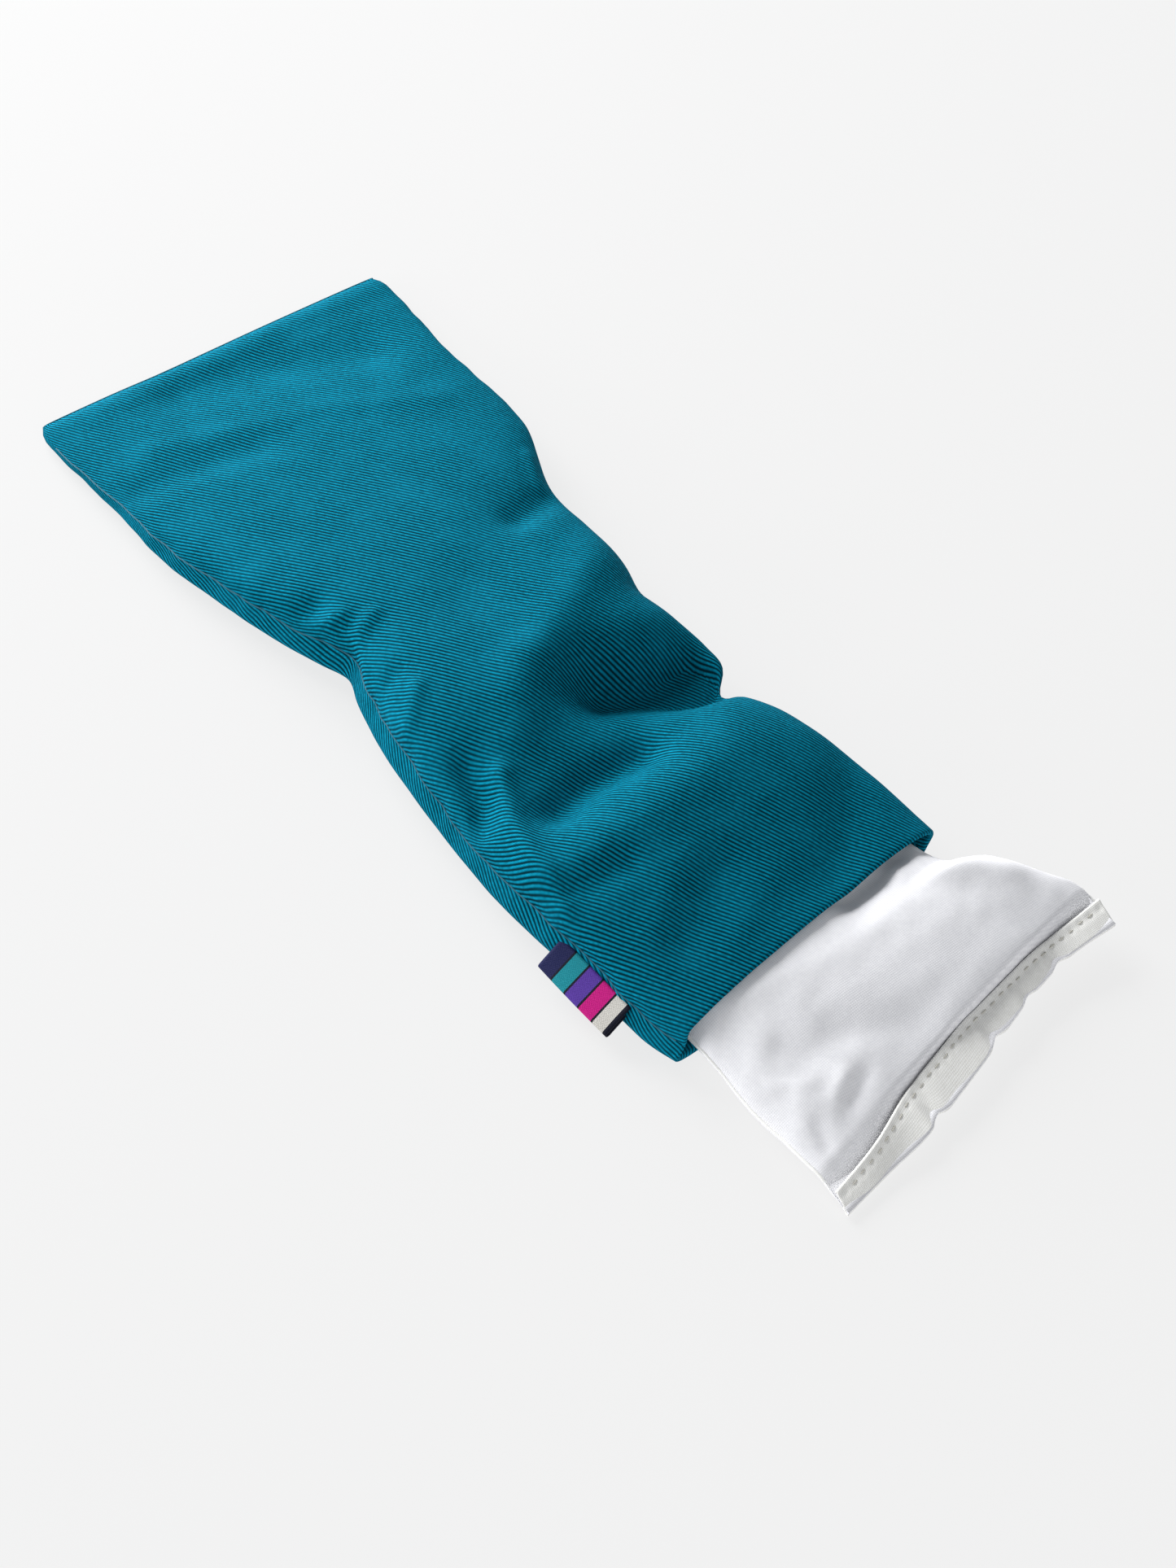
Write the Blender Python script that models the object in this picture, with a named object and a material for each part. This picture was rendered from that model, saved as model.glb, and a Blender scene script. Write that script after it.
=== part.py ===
"""Eye pillow: a seed-filled inner bag that slides into a teal twill sleeve cover.

The cover lies along X with its open mouth towards +X and its underside on z = 0.
The origin is the middle of the cover's underside. All lengths are in metres.
"""
import math

import bmesh
import bpy

# Overall sizes
COVER_LENGTH = 0.252  # far seam to mouth edge, along X
COVER_WIDTH = 0.102  # sewn width of the empty, flat far end
BAG_LENGTH = 0.241  # far seam of the inner bag to its closed end
BAG_SHOWING = 0.046  # length of inner bag that stands out of the mouth
HEM_WIDTH = 0.096  # width across the closing hem of the inner bag

# Filled shape of the cover
COVER_HEIGHT = 0.0265  # height over the filled part
MOUTH_HEIGHT = 0.0245  # height of the mouth arch
BODY_DRAW_IN = 0.003  # how far each side pulls in where the cover is filled
MOUTH_DRAW_IN = 0.0065  # how far each side pulls in at the mouth
SEAM_HEIGHT = 0.0095  # height of the side seams over the filled part
COVER_TAPER = 0.050  # length over which the flat far end swells
MOUTH_TAPER = 0.060  # length over which the mouth pulls in
ARCH_POWER = 2.5  # roundness of a cross-section, 2 being an ellipse
FLOOR_REACH = 1.25  # a dish aims this many times its depth, which sets its flat width

# Filled shape of the bag
BAG_TAPER = 0.042  # length over which the far end of the bag swells
BAG_CORNER_DRAW_IN = 0.009  # how far its far corners pull in on each side
BAG_FLATTENING = 0.036  # length over which the bag flattens to its hem
FLARE_START = 0.001  # how far out of the mouth the bag starts to widen
HEM_HEIGHT = 0.0030  # height of the middle of the closing hem

# Cloth, thread and clearances
COVER_CLOTH = 0.0008  # cotton twill
FACING_CLOTH = 0.0006  # turned-in edge of the twill, pressed flat
BAG_CLOTH = 0.0004  # plain cotton
SEAM_THREAD = 0.0005  # diameter of the seam stitching
OVERLOCK_THREAD = 0.0004  # diameter of the overlock on the facings
CLOSURE_THREAD = 0.0004  # diameter of the stitching that closes the bag
PIECE_GAP = 0.0003  # gap between pieces that touch
BAG_SIDE_CLEARANCE = 0.0012  # bag to the facings, each side
BAG_TOP_CLEARANCE = 0.0007  # bag to the top facing
BAG_FLOOR_CLEARANCE = 0.0004  # bag to the bottom facing
FILLING_CLEARANCE = 0.0004  # seeds to the bag's cloth

# Mouth facings, closing hem and label
FACING_DEPTH = 0.012  # how far the mouth edge is turned in
HEM_DEPTH = 0.009  # width of the closing hem, along X
HEM_UNDERLAP = 0.006  # width of the hem's lower leaf, along X
HEM_CLOTH = 0.0008  # two thicknesses of the bag's cloth
HEM_END_MARGIN = 0.0015  # stitching ends this far from the hem's ends
STITCH_INSET = 0.002  # stitching to the hem's inner edge
STITCH_PITCH = 0.003  # one stitch and its gap
STITCH_WAVE = 0.00012  # how far the stitching rises and falls
LABEL_WIDTH = 0.024  # along the seam
LABEL_REACH = 0.0105  # from the seam to the fold
LABEL_CLOTH = 0.0004  # woven ribbon
LABEL_LOOP_GAP = 0.0005  # between the ribbon's two plies
LABEL_FROM_MOUTH = 0.0115  # mouth edge to the label
LABEL_DROOP = math.radians(42)  # slope of the hanging label
LABEL_ROOT_GAP = 0.0010  # hinge line to the ribbon's cut ends
LABEL_SEAM_GAP = 0.0003  # cover's side to the label's hinge line

# Facets
ARCH_STEPS = 28
PANEL_STATIONS = 42
FILLING_STATIONS = 24
THREAD_STATIONS = 40
BEND_STEPS = 6

# Sizes that follow from the ones above
MOUTH_X = COVER_LENGTH / 2
FAR_X = -COVER_LENGTH / 2
BAG_END_X = MOUTH_X + BAG_SHOWING
BAG_FAR_X = BAG_END_X - BAG_LENGTH
SEAM_SPLIT = SEAM_THREAD + 2 * PIECE_GAP
FACING_OFFSET = COVER_CLOTH + PIECE_GAP
LINING_OFFSET = FACING_OFFSET + FACING_CLOTH
BAG_FLOOR = LINING_OFFSET + BAG_FLOOR_CLEARANCE
MOUTH_HALF_WIDTH = COVER_WIDTH / 2 - MOUTH_DRAW_IN
BAG_HALF_WIDTH = MOUTH_HALF_WIDTH - LINING_OFFSET - BAG_SIDE_CLEARANCE
MOUTH_RISE = MOUTH_HEIGHT - SEAM_HEIGHT - SEAM_SPLIT / 2
BAG_RISE = MOUTH_RISE - LINING_OFFSET - BAG_TOP_CLEARANCE
HEM_START_X = BAG_END_X - HEM_DEPTH
BAG_END_SPLIT = PIECE_GAP


def ease(share):
    """Return a smooth step from 0 to 1 for a share of a length."""
    held = min(max(share, 0.0), 1.0)
    return held * held * (3 - 2 * held)


def mix(first, second, share):
    """Return the value a share of the way from first to second."""
    return first + (second - first) * share


def stations(start, end, count):
    """Return evenly spaced places from start to end."""
    return [mix(start, end, index / count) for index in range(count + 1)]


# The cover's outline along X


def cover_swell(x):
    return ease((x - FAR_X) / COVER_TAPER)


def cover_mouth_share(x):
    return ease((x - MOUTH_X + MOUTH_TAPER) / MOUTH_TAPER)


def cover_half_width(x):
    body = COVER_WIDTH / 2 - BODY_DRAW_IN * cover_swell(x)
    return mix(body, MOUTH_HALF_WIDTH, cover_mouth_share(x))


def cover_seam_height(x):
    flat = COVER_CLOTH + SEAM_SPLIT / 2
    return mix(flat, SEAM_HEIGHT, cover_swell(x))


def cover_rise(x):
    body = COVER_HEIGHT - SEAM_HEIGHT - SEAM_SPLIT / 2
    filled = mix(body, MOUTH_RISE, cover_mouth_share(x))
    return mix(COVER_CLOTH, filled, cover_swell(x))


# The bag's outline along X


def bag_swell(x):
    return ease((x - BAG_FAR_X) / BAG_TAPER)


def bag_flattening(x):
    return ease((x - HEM_START_X + BAG_FLATTENING) / BAG_FLATTENING)


def bag_half_width(x):
    body = mix(BAG_HALF_WIDTH - BAG_CORNER_DRAW_IN, BAG_HALF_WIDTH, bag_swell(x))
    flare = ease((x - MOUTH_X - FLARE_START) / (HEM_START_X - MOUTH_X - FLARE_START))
    return mix(body, HEM_WIDTH / 2, flare)


def bag_seam_height(x):
    body = mix(BAG_FLOOR + BAG_CLOTH + SEAM_SPLIT / 2, SEAM_HEIGHT, bag_swell(x))
    return mix(body, HEM_HEIGHT, bag_flattening(x))


def bag_rise(x):
    body = mix(BAG_CLOTH, BAG_RISE, bag_swell(x))
    return mix(body, BAG_CLOTH, bag_flattening(x))


def bag_split(x):
    """Return the gap between the bag's two cloths, which closes at the hem."""
    return mix(SEAM_SPLIT, BAG_END_SPLIT, bag_flattening(x))


def bag_floor(x):
    """Return the height of the bag's underside."""
    flat_end = HEM_HEIGHT - BAG_END_SPLIT / 2 - BAG_CLOTH
    return mix(BAG_FLOOR, flat_end, bag_flattening(x))


# Cross-sections


def arch(half_width, rise):
    """Return (y, z) points over a half superellipse, from +Y to -Y."""
    points = []
    for index in range(ARCH_STEPS + 1):
        angle = math.pi * index / ARCH_STEPS
        across = math.cos(angle)
        upward = max(math.sin(angle), 0.0)
        y = half_width * math.copysign(abs(across) ** (2 / ARCH_POWER), across)
        z = rise * upward ** (2 / ARCH_POWER)
        points.append((y, z))
    return points


def top_section(x, half_width, base, rise):
    """Return the points of a section that domes up from its base."""
    return [(x, y, base + z) for y, z in arch(half_width, rise)]


def bottom_section(x, half_width, base, floor, depth):
    """Return the points of a section that dishes down to a flat floor."""
    return [(x, y, max(base - z, floor)) for y, z in arch(half_width, depth)]


def cover_top(x, inset):
    base = cover_seam_height(x) + SEAM_SPLIT / 2
    rise = max(cover_rise(x) - inset, 0.0)
    return top_section(x, cover_half_width(x) - inset, base, rise)


def cover_bottom(x, inset):
    base = cover_seam_height(x) - SEAM_SPLIT / 2
    depth = (base - inset) * floor_reach(x)
    return bottom_section(x, cover_half_width(x) - inset, base, inset, depth)


def bag_top(x, inset):
    base = bag_seam_height(x) + bag_split(x) / 2
    rise = max(bag_rise(x) - inset, 0.0)
    return top_section(x, bag_half_width(x) - inset, base, rise)


def bag_bottom(x, inset):
    base = bag_seam_height(x) - bag_split(x) / 2
    floor = bag_floor(x) + inset
    depth = (base - floor) * floor_reach(x)
    return bottom_section(x, bag_half_width(x) - inset, base, floor, depth)


def floor_reach(x):
    """Return how many times its depth a dish aims for at x."""
    return mix(1.0, FLOOR_REACH, cover_swell(x))


# Building


def material(name, colour, roughness):
    """Return a Principled material of one colour."""
    made = bpy.data.materials.new(name)
    made.use_nodes = True
    shader = made.node_tree.nodes["Principled BSDF"]
    shader.inputs["Base Color"].default_value = (*colour, 1.0)
    shader.inputs["Roughness"].default_value = roughness
    shader.inputs["Metallic"].default_value = 0.0
    made.diffuse_color = (*colour, 1.0)
    return made


def finish_mesh(name, mesh_builder, colour_material, parent):
    """Turn a bmesh into a named object under its body's empty."""
    bmesh.ops.recalc_face_normals(mesh_builder, faces=mesh_builder.faces)
    mesh = bpy.data.meshes.new(name)
    mesh_builder.to_mesh(mesh)
    mesh_builder.free()
    mesh.materials.append(colour_material)
    mesh.shade_smooth()
    mesh.set_sharp_from_angle(angle=math.radians(40))
    made = bpy.data.objects.new(name, mesh)
    bpy.context.collection.objects.link(made)
    attach(made, parent)
    return made


def attach(made, parent):
    """Parent an object built in world coordinates to a body's empty."""
    made.parent = parent
    made.matrix_parent_inverse = parent.matrix_world.inverted()


def add_row(builder, points):
    return [builder.verts.new(point) for point in points]


def bridge(builder, first, second):
    """Fill the strip between two rows of vertices."""
    for index in range(len(first) - 1):
        corners = (first[index], first[index + 1], second[index + 1], second[index])
        builder.faces.new(corners)


def shell(name, places, outer, inner, colour_material, parent):
    """Build a thin curved panel between an outer and an inner section."""
    builder = bmesh.new()
    outer_rows = [add_row(builder, outer(x)) for x in places]
    inner_rows = [add_row(builder, inner(x)) for x in places]
    for index in range(len(places) - 1):
        bridge(builder, outer_rows[index], outer_rows[index + 1])
        bridge(builder, inner_rows[index], inner_rows[index + 1])
    for side in (0, -1):
        outer_side = [row[side] for row in outer_rows]
        inner_side = [row[side] for row in inner_rows]
        bridge(builder, outer_side, inner_side)
    for end in (0, -1):
        bridge(builder, outer_rows[end], inner_rows[end])
    return finish_mesh(name, builder, colour_material, parent)


def loft(name, places, section, colour_material, parent):
    """Build a closed solid through rings, capped at both ends."""
    builder = bmesh.new()
    rings = [add_row(builder, section(x)) for x in places]
    for index in range(len(rings) - 1):
        first = rings[index] + rings[index][:1]
        second = rings[index + 1] + rings[index + 1][:1]
        bridge(builder, first, second)
    for end in (0, -1):
        builder.faces.new(rings[end])
    return finish_mesh(name, builder, colour_material, parent)


def thread(name, points, diameter, colour_material, parent):
    """Build a round thread through the points given."""
    curve = bpy.data.curves.new(name, "CURVE")
    curve.dimensions = "3D"
    curve.bevel_depth = diameter / 2
    curve.bevel_resolution = 1
    curve.use_fill_caps = True
    spline = curve.splines.new("POLY")
    spline.points.add(len(points) - 1)
    for place, point in zip(spline.points, points):
        place.co = (*point, 1.0)
    spline.use_smooth = True
    curve.materials.append(colour_material)
    made = bpy.data.objects.new(name, curve)
    bpy.context.collection.objects.link(made)
    attach(made, parent)
    return made


def body_empty(name, location, parent=None):
    """Return the empty that holds one moving body's pieces."""
    empty = bpy.data.objects.new(name, None)
    empty.location = location
    empty.empty_display_size = 0.02
    bpy.context.collection.objects.link(empty)
    if parent is not None:
        attach(empty, parent)
    bpy.context.view_layer.update()
    return empty


# The cover


def side_seam(side, places, half_width, seam_height, inset):
    """Return points along one side seam, side being +1 or -1."""
    return [(x, side * (half_width(x) - inset), seam_height(x)) for x in places]


def across_seam(x, half_width, height):
    """Return points along a seam that crosses the pillow."""
    return [(x, y, height) for y in stations(-half_width, half_width, THREAD_STATIONS)]


def build_cover(body, twill, facing, thread_colour, overlock_colour):
    places = stations(FAR_X, MOUTH_X, PANEL_STATIONS)
    shell(
        "cover_top_panel",
        places,
        lambda x: cover_top(x, 0.0),
        lambda x: cover_top(x, COVER_CLOTH),
        twill,
        body,
    )
    shell(
        "cover_bottom_panel",
        places,
        lambda x: cover_bottom(x, 0.0),
        lambda x: cover_bottom(x, COVER_CLOTH),
        twill,
        body,
    )
    inset = COVER_CLOTH / 2
    far_corner = FAR_X + COVER_CLOTH / 2
    corner_gap = SEAM_THREAD + PIECE_GAP
    side_places = stations(far_corner + corner_gap, MOUTH_X, THREAD_STATIONS)
    for side, name in ((-1, "cover_left_seam_thread"), (1, "cover_right_seam_thread")):
        points = side_seam(side, side_places, cover_half_width, cover_seam_height, inset)
        thread(name, points, SEAM_THREAD, thread_colour, body)
    end_half = cover_half_width(far_corner) - inset
    points = across_seam(far_corner, end_half, cover_seam_height(far_corner))
    thread("cover_end_seam_thread", points, SEAM_THREAD, thread_colour, body)
    build_facings(body, facing, overlock_colour)


def build_facings(body, facing, overlock_colour):
    """Turn the mouth edge in as two facings with an overlocked raw edge."""
    facing_x = MOUTH_X - FACING_DEPTH
    places = stations(facing_x, MOUTH_X, 4)
    overlock_x = facing_x - PIECE_GAP - OVERLOCK_THREAD / 2
    middle = FACING_OFFSET + FACING_CLOTH / 2
    for section, side in ((cover_top, "top"), (cover_bottom, "bottom")):
        shell(
            f"cover_{side}_facing",
            places,
            lambda x, cut=section: cut(x, FACING_OFFSET),
            lambda x, cut=section: cut(x, LINING_OFFSET),
            facing,
            body,
        )
        points = section(overlock_x, middle)
        thread(f"{side}_facing_overlock", points, OVERLOCK_THREAD, overlock_colour, body)


# The label


def label_profile():
    """Return the ribbon loop's closed outline in (reach, lift) about its hinge."""
    half_outer = LABEL_LOOP_GAP / 2 + LABEL_CLOTH
    half_inner = LABEL_LOOP_GAP / 2
    bend_reach = LABEL_REACH - half_outer
    outer = [(LABEL_ROOT_GAP, half_outer)]
    inner = [(LABEL_ROOT_GAP, half_inner)]
    for index in range(2 * BEND_STEPS + 1):
        angle = math.pi / 2 - math.pi * index / (2 * BEND_STEPS)
        turn = (math.cos(angle), math.sin(angle))
        outer.append((bend_reach + half_outer * turn[0], half_outer * turn[1]))
        inner.append((bend_reach + half_inner * turn[0], half_inner * turn[1]))
    outer.append((LABEL_ROOT_GAP, -half_outer))
    inner.append((LABEL_ROOT_GAP, -half_inner))
    return outer + inner[::-1]


def label_hinge():
    """Return the place of the seam line that the label swings on."""
    middle_x = MOUTH_X - LABEL_FROM_MOUTH - LABEL_WIDTH / 2
    near_x = middle_x - LABEL_WIDTH / 2
    side = cover_half_width(near_x) + LABEL_SEAM_GAP
    return (middle_x, -side, cover_seam_height(middle_x))


def build_label(body, ribbon):
    centre_x, hinge_y, hinge_z = label_hinge()
    outward = (-math.cos(LABEL_DROOP), -math.sin(LABEL_DROOP))
    upward = (-math.sin(LABEL_DROOP), math.cos(LABEL_DROOP))

    def section(x):
        points = []
        for reach, lift in label_profile():
            y = hinge_y + outward[0] * reach + upward[0] * lift
            z = hinge_z + outward[1] * reach + upward[1] * lift
            points.append((x, y, z))
        return points

    places = (centre_x - LABEL_WIDTH / 2, centre_x + LABEL_WIDTH / 2)
    loft("striped_label", places, section, ribbon, body)


# The inner bag


def build_bag(body, cotton, hem_cotton, thread_colour, seeds):
    places = stations(BAG_FAR_X, BAG_END_X - HEM_CLOTH - PIECE_GAP, PANEL_STATIONS)
    shell(
        "bag_top_panel",
        places,
        lambda x: bag_top(x, 0.0),
        lambda x: bag_top(x, BAG_CLOTH),
        cotton,
        body,
    )
    shell(
        "bag_bottom_panel",
        places,
        lambda x: bag_bottom(x, 0.0),
        lambda x: bag_bottom(x, BAG_CLOTH),
        cotton,
        body,
    )
    build_bag_seams(body, thread_colour)
    build_filling(body, seeds)
    build_hem(body, hem_cotton, thread_colour)


def build_bag_seams(body, thread_colour):
    inset = BAG_CLOTH / 2
    far_corner = BAG_FAR_X + BAG_CLOTH / 2
    corner_gap = SEAM_THREAD + PIECE_GAP
    near_corner = HEM_START_X - BAG_FLATTENING
    side_places = stations(far_corner + corner_gap, near_corner, THREAD_STATIONS)
    for side, name in ((-1, "bag_left_seam_thread"), (1, "bag_right_seam_thread")):
        points = side_seam(side, side_places, bag_half_width, bag_seam_height, inset)
        thread(name, points, SEAM_THREAD, thread_colour, body)
    end_half = bag_half_width(far_corner) - inset
    points = across_seam(far_corner, end_half, bag_seam_height(far_corner))
    thread("bag_end_seam_thread", points, SEAM_THREAD, thread_colour, body)


def build_filling(body, seeds):
    """Build the loose seeds as one solid that fills the swollen part of the bag."""
    inset = BAG_CLOTH + FILLING_CLEARANCE
    seam_reach = SEAM_THREAD / 2 + PIECE_GAP + inset
    start = BAG_FAR_X + BAG_TAPER / 3
    end = HEM_START_X - BAG_FLATTENING / 4

    def section(x):
        split = bag_split(x) / 2
        half_width = bag_half_width(x) - seam_reach
        above = [(x, y, z - split) for _, y, z in top_of_seeds(x, half_width, inset)]
        below = [(x, y, z + split) for _, y, z in bottom_of_seeds(x, half_width, inset)]
        return above + below[-2:0:-1]

    loft("seed_filling", stations(start, end, FILLING_STATIONS), section, seeds, body)


def top_of_seeds(x, half_width, inset):
    base = bag_seam_height(x) + bag_split(x) / 2
    rise = bag_rise(x) - inset
    return top_section(x, half_width, base, rise)


def bottom_of_seeds(x, half_width, inset):
    base = bag_seam_height(x) - bag_split(x) / 2
    floor = bag_floor(x) + inset
    return bottom_section(x, half_width, base, floor, (base - floor))


def hem_profile():
    """Return the closed outline in (x, z) of the folded cloth that shuts the bag."""
    half_inner = BAG_END_SPLIT / 2 + BAG_CLOTH + PIECE_GAP
    half_outer = half_inner + HEM_CLOTH
    bend_x = BAG_END_X - half_outer
    outer = [(HEM_START_X, half_outer)]
    inner = [(HEM_START_X, half_inner)]
    for index in range(2 * BEND_STEPS + 1):
        angle = math.pi / 2 - math.pi * index / (2 * BEND_STEPS)
        turn = (math.cos(angle), math.sin(angle))
        outer.append((bend_x + half_outer * turn[0], half_outer * turn[1]))
        inner.append((bend_x + half_inner * turn[0], half_inner * turn[1]))
    lower_x = BAG_END_X - HEM_UNDERLAP
    outer.append((lower_x, -half_outer))
    inner.append((lower_x, -half_inner))
    return outer + inner[::-1]


def build_hem(body, hem_cotton, thread_colour):
    outline = hem_profile()
    builder = bmesh.new()
    rows = []
    for y in (-HEM_WIDTH / 2, HEM_WIDTH / 2):
        rows.append(add_row(builder, [(x, y, HEM_HEIGHT + z) for x, z in outline]))
    bridge(builder, rows[0] + rows[0][:1], rows[1] + rows[1][:1])
    for row in rows:
        builder.faces.new(row)
    finish_mesh("closure_hem", builder, hem_cotton, body)
    build_closure_thread(body, thread_colour)


def build_closure_thread(body, thread_colour):
    """Lay the running stitch along the hem, rising and falling once a stitch."""
    hem_top = HEM_HEIGHT + BAG_END_SPLIT / 2 + BAG_CLOTH + PIECE_GAP + HEM_CLOTH
    clear = hem_top + PIECE_GAP + CLOSURE_THREAD / 2 + STITCH_WAVE
    half_length = HEM_WIDTH / 2 - HEM_END_MARGIN
    steps = 4 * round(2 * half_length / STITCH_PITCH)
    x = HEM_START_X + STITCH_INSET
    points = []
    for y in stations(-half_length, half_length, steps):
        wave = STITCH_WAVE * math.sin(2 * math.pi * (y + half_length) / STITCH_PITCH)
        points.append((x, y, clear + wave))
    thread("closure_thread", points, CLOSURE_THREAD, thread_colour, body)


def main():
    for old in list(bpy.data.objects):
        bpy.data.objects.remove(old, do_unlink=True)
    cover_body = body_empty("cover_body", (0.0, 0.0, 0.0))
    bag_body = body_empty("bag_body", (MOUTH_X, 0.0, BAG_FLOOR), cover_body)
    label_body = body_empty("label_body", label_hinge(), cover_body)

    twill = material("teal_cotton_twill", (0.006, 0.175, 0.235), 0.85)
    facing = material("teal_twill_facing", (0.005, 0.130, 0.175), 0.88)
    teal_thread = material("teal_thread", (0.008, 0.140, 0.185), 0.7)
    pale_thread = material("pale_overlock_thread", (0.55, 0.56, 0.55), 0.7)
    white_cotton = material("white_plain_cotton", (0.72, 0.72, 0.76), 0.9)
    hem_cotton = material("white_hem_cotton", (0.66, 0.66, 0.64), 0.9)
    white_thread = material("white_thread", (0.60, 0.60, 0.57), 0.7)
    ribbon = material("striped_woven_ribbon", (0.19, 0.10, 0.32), 0.6)
    seeds = material("brown_seeds", (0.20, 0.10, 0.045), 0.7)

    build_cover(cover_body, twill, facing, teal_thread, pale_thread)
    build_label(label_body, ribbon)
    build_bag(bag_body, white_cotton, hem_cotton, white_thread, seeds)


main()
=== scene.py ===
"""Eye pillow: a teal twill sleeve cover with a seed-filled white cotton bag part way out of its mouth.

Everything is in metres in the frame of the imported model: +X towards the open mouth, +Y away from the
striped label, and z = 0 on the surface that the pillow lies on. Shapes are written in millimetres.
"""
from __future__ import annotations

import logging
import math
from collections.abc import Sequence
from dataclasses import dataclass
from enum import Enum

import bpy
import numpy as np
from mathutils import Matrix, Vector, noise

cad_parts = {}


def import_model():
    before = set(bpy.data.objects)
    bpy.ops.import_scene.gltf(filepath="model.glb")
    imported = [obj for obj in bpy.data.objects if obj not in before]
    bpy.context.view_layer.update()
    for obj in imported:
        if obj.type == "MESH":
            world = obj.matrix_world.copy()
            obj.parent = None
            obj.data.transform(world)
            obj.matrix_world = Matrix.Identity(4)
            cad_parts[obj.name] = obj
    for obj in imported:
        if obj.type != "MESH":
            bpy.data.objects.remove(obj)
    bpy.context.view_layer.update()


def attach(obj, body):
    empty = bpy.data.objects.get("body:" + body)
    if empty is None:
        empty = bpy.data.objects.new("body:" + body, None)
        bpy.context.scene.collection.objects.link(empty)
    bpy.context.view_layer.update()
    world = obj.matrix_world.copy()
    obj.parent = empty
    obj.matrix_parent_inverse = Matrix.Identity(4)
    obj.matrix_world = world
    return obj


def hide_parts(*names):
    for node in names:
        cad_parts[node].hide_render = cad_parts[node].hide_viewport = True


LOG = logging.getLogger("eye_pillow")
MM = 0.001

Line = tuple[tuple[float, ...], ...]
Socket = bpy.types.NodeSocket
Material = bpy.types.Material
NodeTree = bpy.types.NodeTree


class Body(Enum):
    """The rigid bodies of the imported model."""

    COVER = "cover"
    BAG = "inner_bag"
    LABEL = "label"


class Slot(Enum):
    """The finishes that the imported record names."""

    TWILL = "cover_twill"
    PALE_THREAD = "pale_thread"
    TEAL_THREAD = "teal_thread"
    RIBBON = "striped_ribbon"
    COTTON = "bag_cotton"
    HEM = "hem_cotton"
    WHITE_THREAD = "white_thread"
    SEEDS = "seeds"


# ---------------------------------------------------------------- materials


def linear(hex_code: str) -> tuple[float, float, float, float]:
    """Turn an sRGB hex colour into linear RGBA.

    Args:
        hex_code: six hex digits after a hash sign.

    Returns:
        The linear colour with full alpha.
    """
    values = [int(hex_code[start : start + 2], 16) / 255 for start in (1, 3, 5)]
    turned = [v / 12.92 if v <= 0.04045 else ((v + 0.055) / 1.055) ** 2.4 for v in values]
    return (*turned, 1.0)


def add_node(tree: NodeTree, kind: str, inputs: dict | None = None, **settings) -> bpy.types.Node:
    """Add a node with its settings and links.

    Args:
        tree: the node tree that takes the node.
        kind: the node's type name, after "ShaderNode".
        inputs: input name or number to a value, or to the socket linked to it.
        settings: attributes of the node itself.

    Returns:
        The new node.
    """
    node = tree.nodes.new("ShaderNode" + kind)
    for name, value in settings.items():
        setattr(node, name, value)
    for key, value in (inputs or {}).items():
        if isinstance(value, bpy.types.NodeSocket):
            tree.links.new(value, node.inputs[key])
        else:
            node.inputs[key].default_value = value
    return node


@dataclass(frozen=True)
class Finish:
    """What every finish shares: its name and how its surface meets the light."""

    name: str = "finish"
    roughness: float = 0.7
    specular: float = 0.5
    relief: float = 0.05 * MM
    relief_strength: float = 0.5

    def start(self) -> tuple[Material, NodeTree]:
        """Return a fresh node material and its tree."""
        made = bpy.data.materials.new(self.name)
        made.use_nodes = True
        return made, made.node_tree

    def close(self, tree: NodeTree, colour: Socket, height: Socket) -> bpy.types.Node:
        """Link the colour and the relief to the shader and set its gloss.

        Args:
            tree: the material's node tree.
            colour: the socket that gives the base colour.
            height: the socket that gives the relief.

        Returns:
            The Principled shader, for what only one finish has.
        """
        shader = tree.nodes["Principled BSDF"]
        settings = {"Height": height, "Distance": self.relief, "Strength": self.relief_strength}
        bump = add_node(tree, "Bump", settings)
        tree.links.new(colour, shader.inputs["Base Color"])
        tree.links.new(bump.outputs[0], shader.inputs["Normal"])
        shader.inputs["Roughness"].default_value = self.roughness
        shader.inputs["Specular IOR Level"].default_value = self.specular
        return shader


def sine_of(tree: NodeTree, value: Socket, pitch: float, offset: Socket | None = None) -> Socket:
    """Return a socket that swings from -1 to 1 once per pitch along value.

    Args:
        tree: the node tree.
        value: a socket holding a length in metres.
        pitch: the length of one swing in metres.
        offset: an optional socket holding radians to add.

    Returns:
        The swinging socket.
    """
    turned = add_node(tree, "Math", {0: value, 1: 2 * math.pi / pitch}, operation="MULTIPLY")
    angle = turned.outputs[0]
    if offset is not None:
        angle = add_node(tree, "Math", {0: angle, 1: offset}, operation="ADD").outputs[0]
    return add_node(tree, "Math", {0: angle}, operation="SINE").outputs[0]


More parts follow.
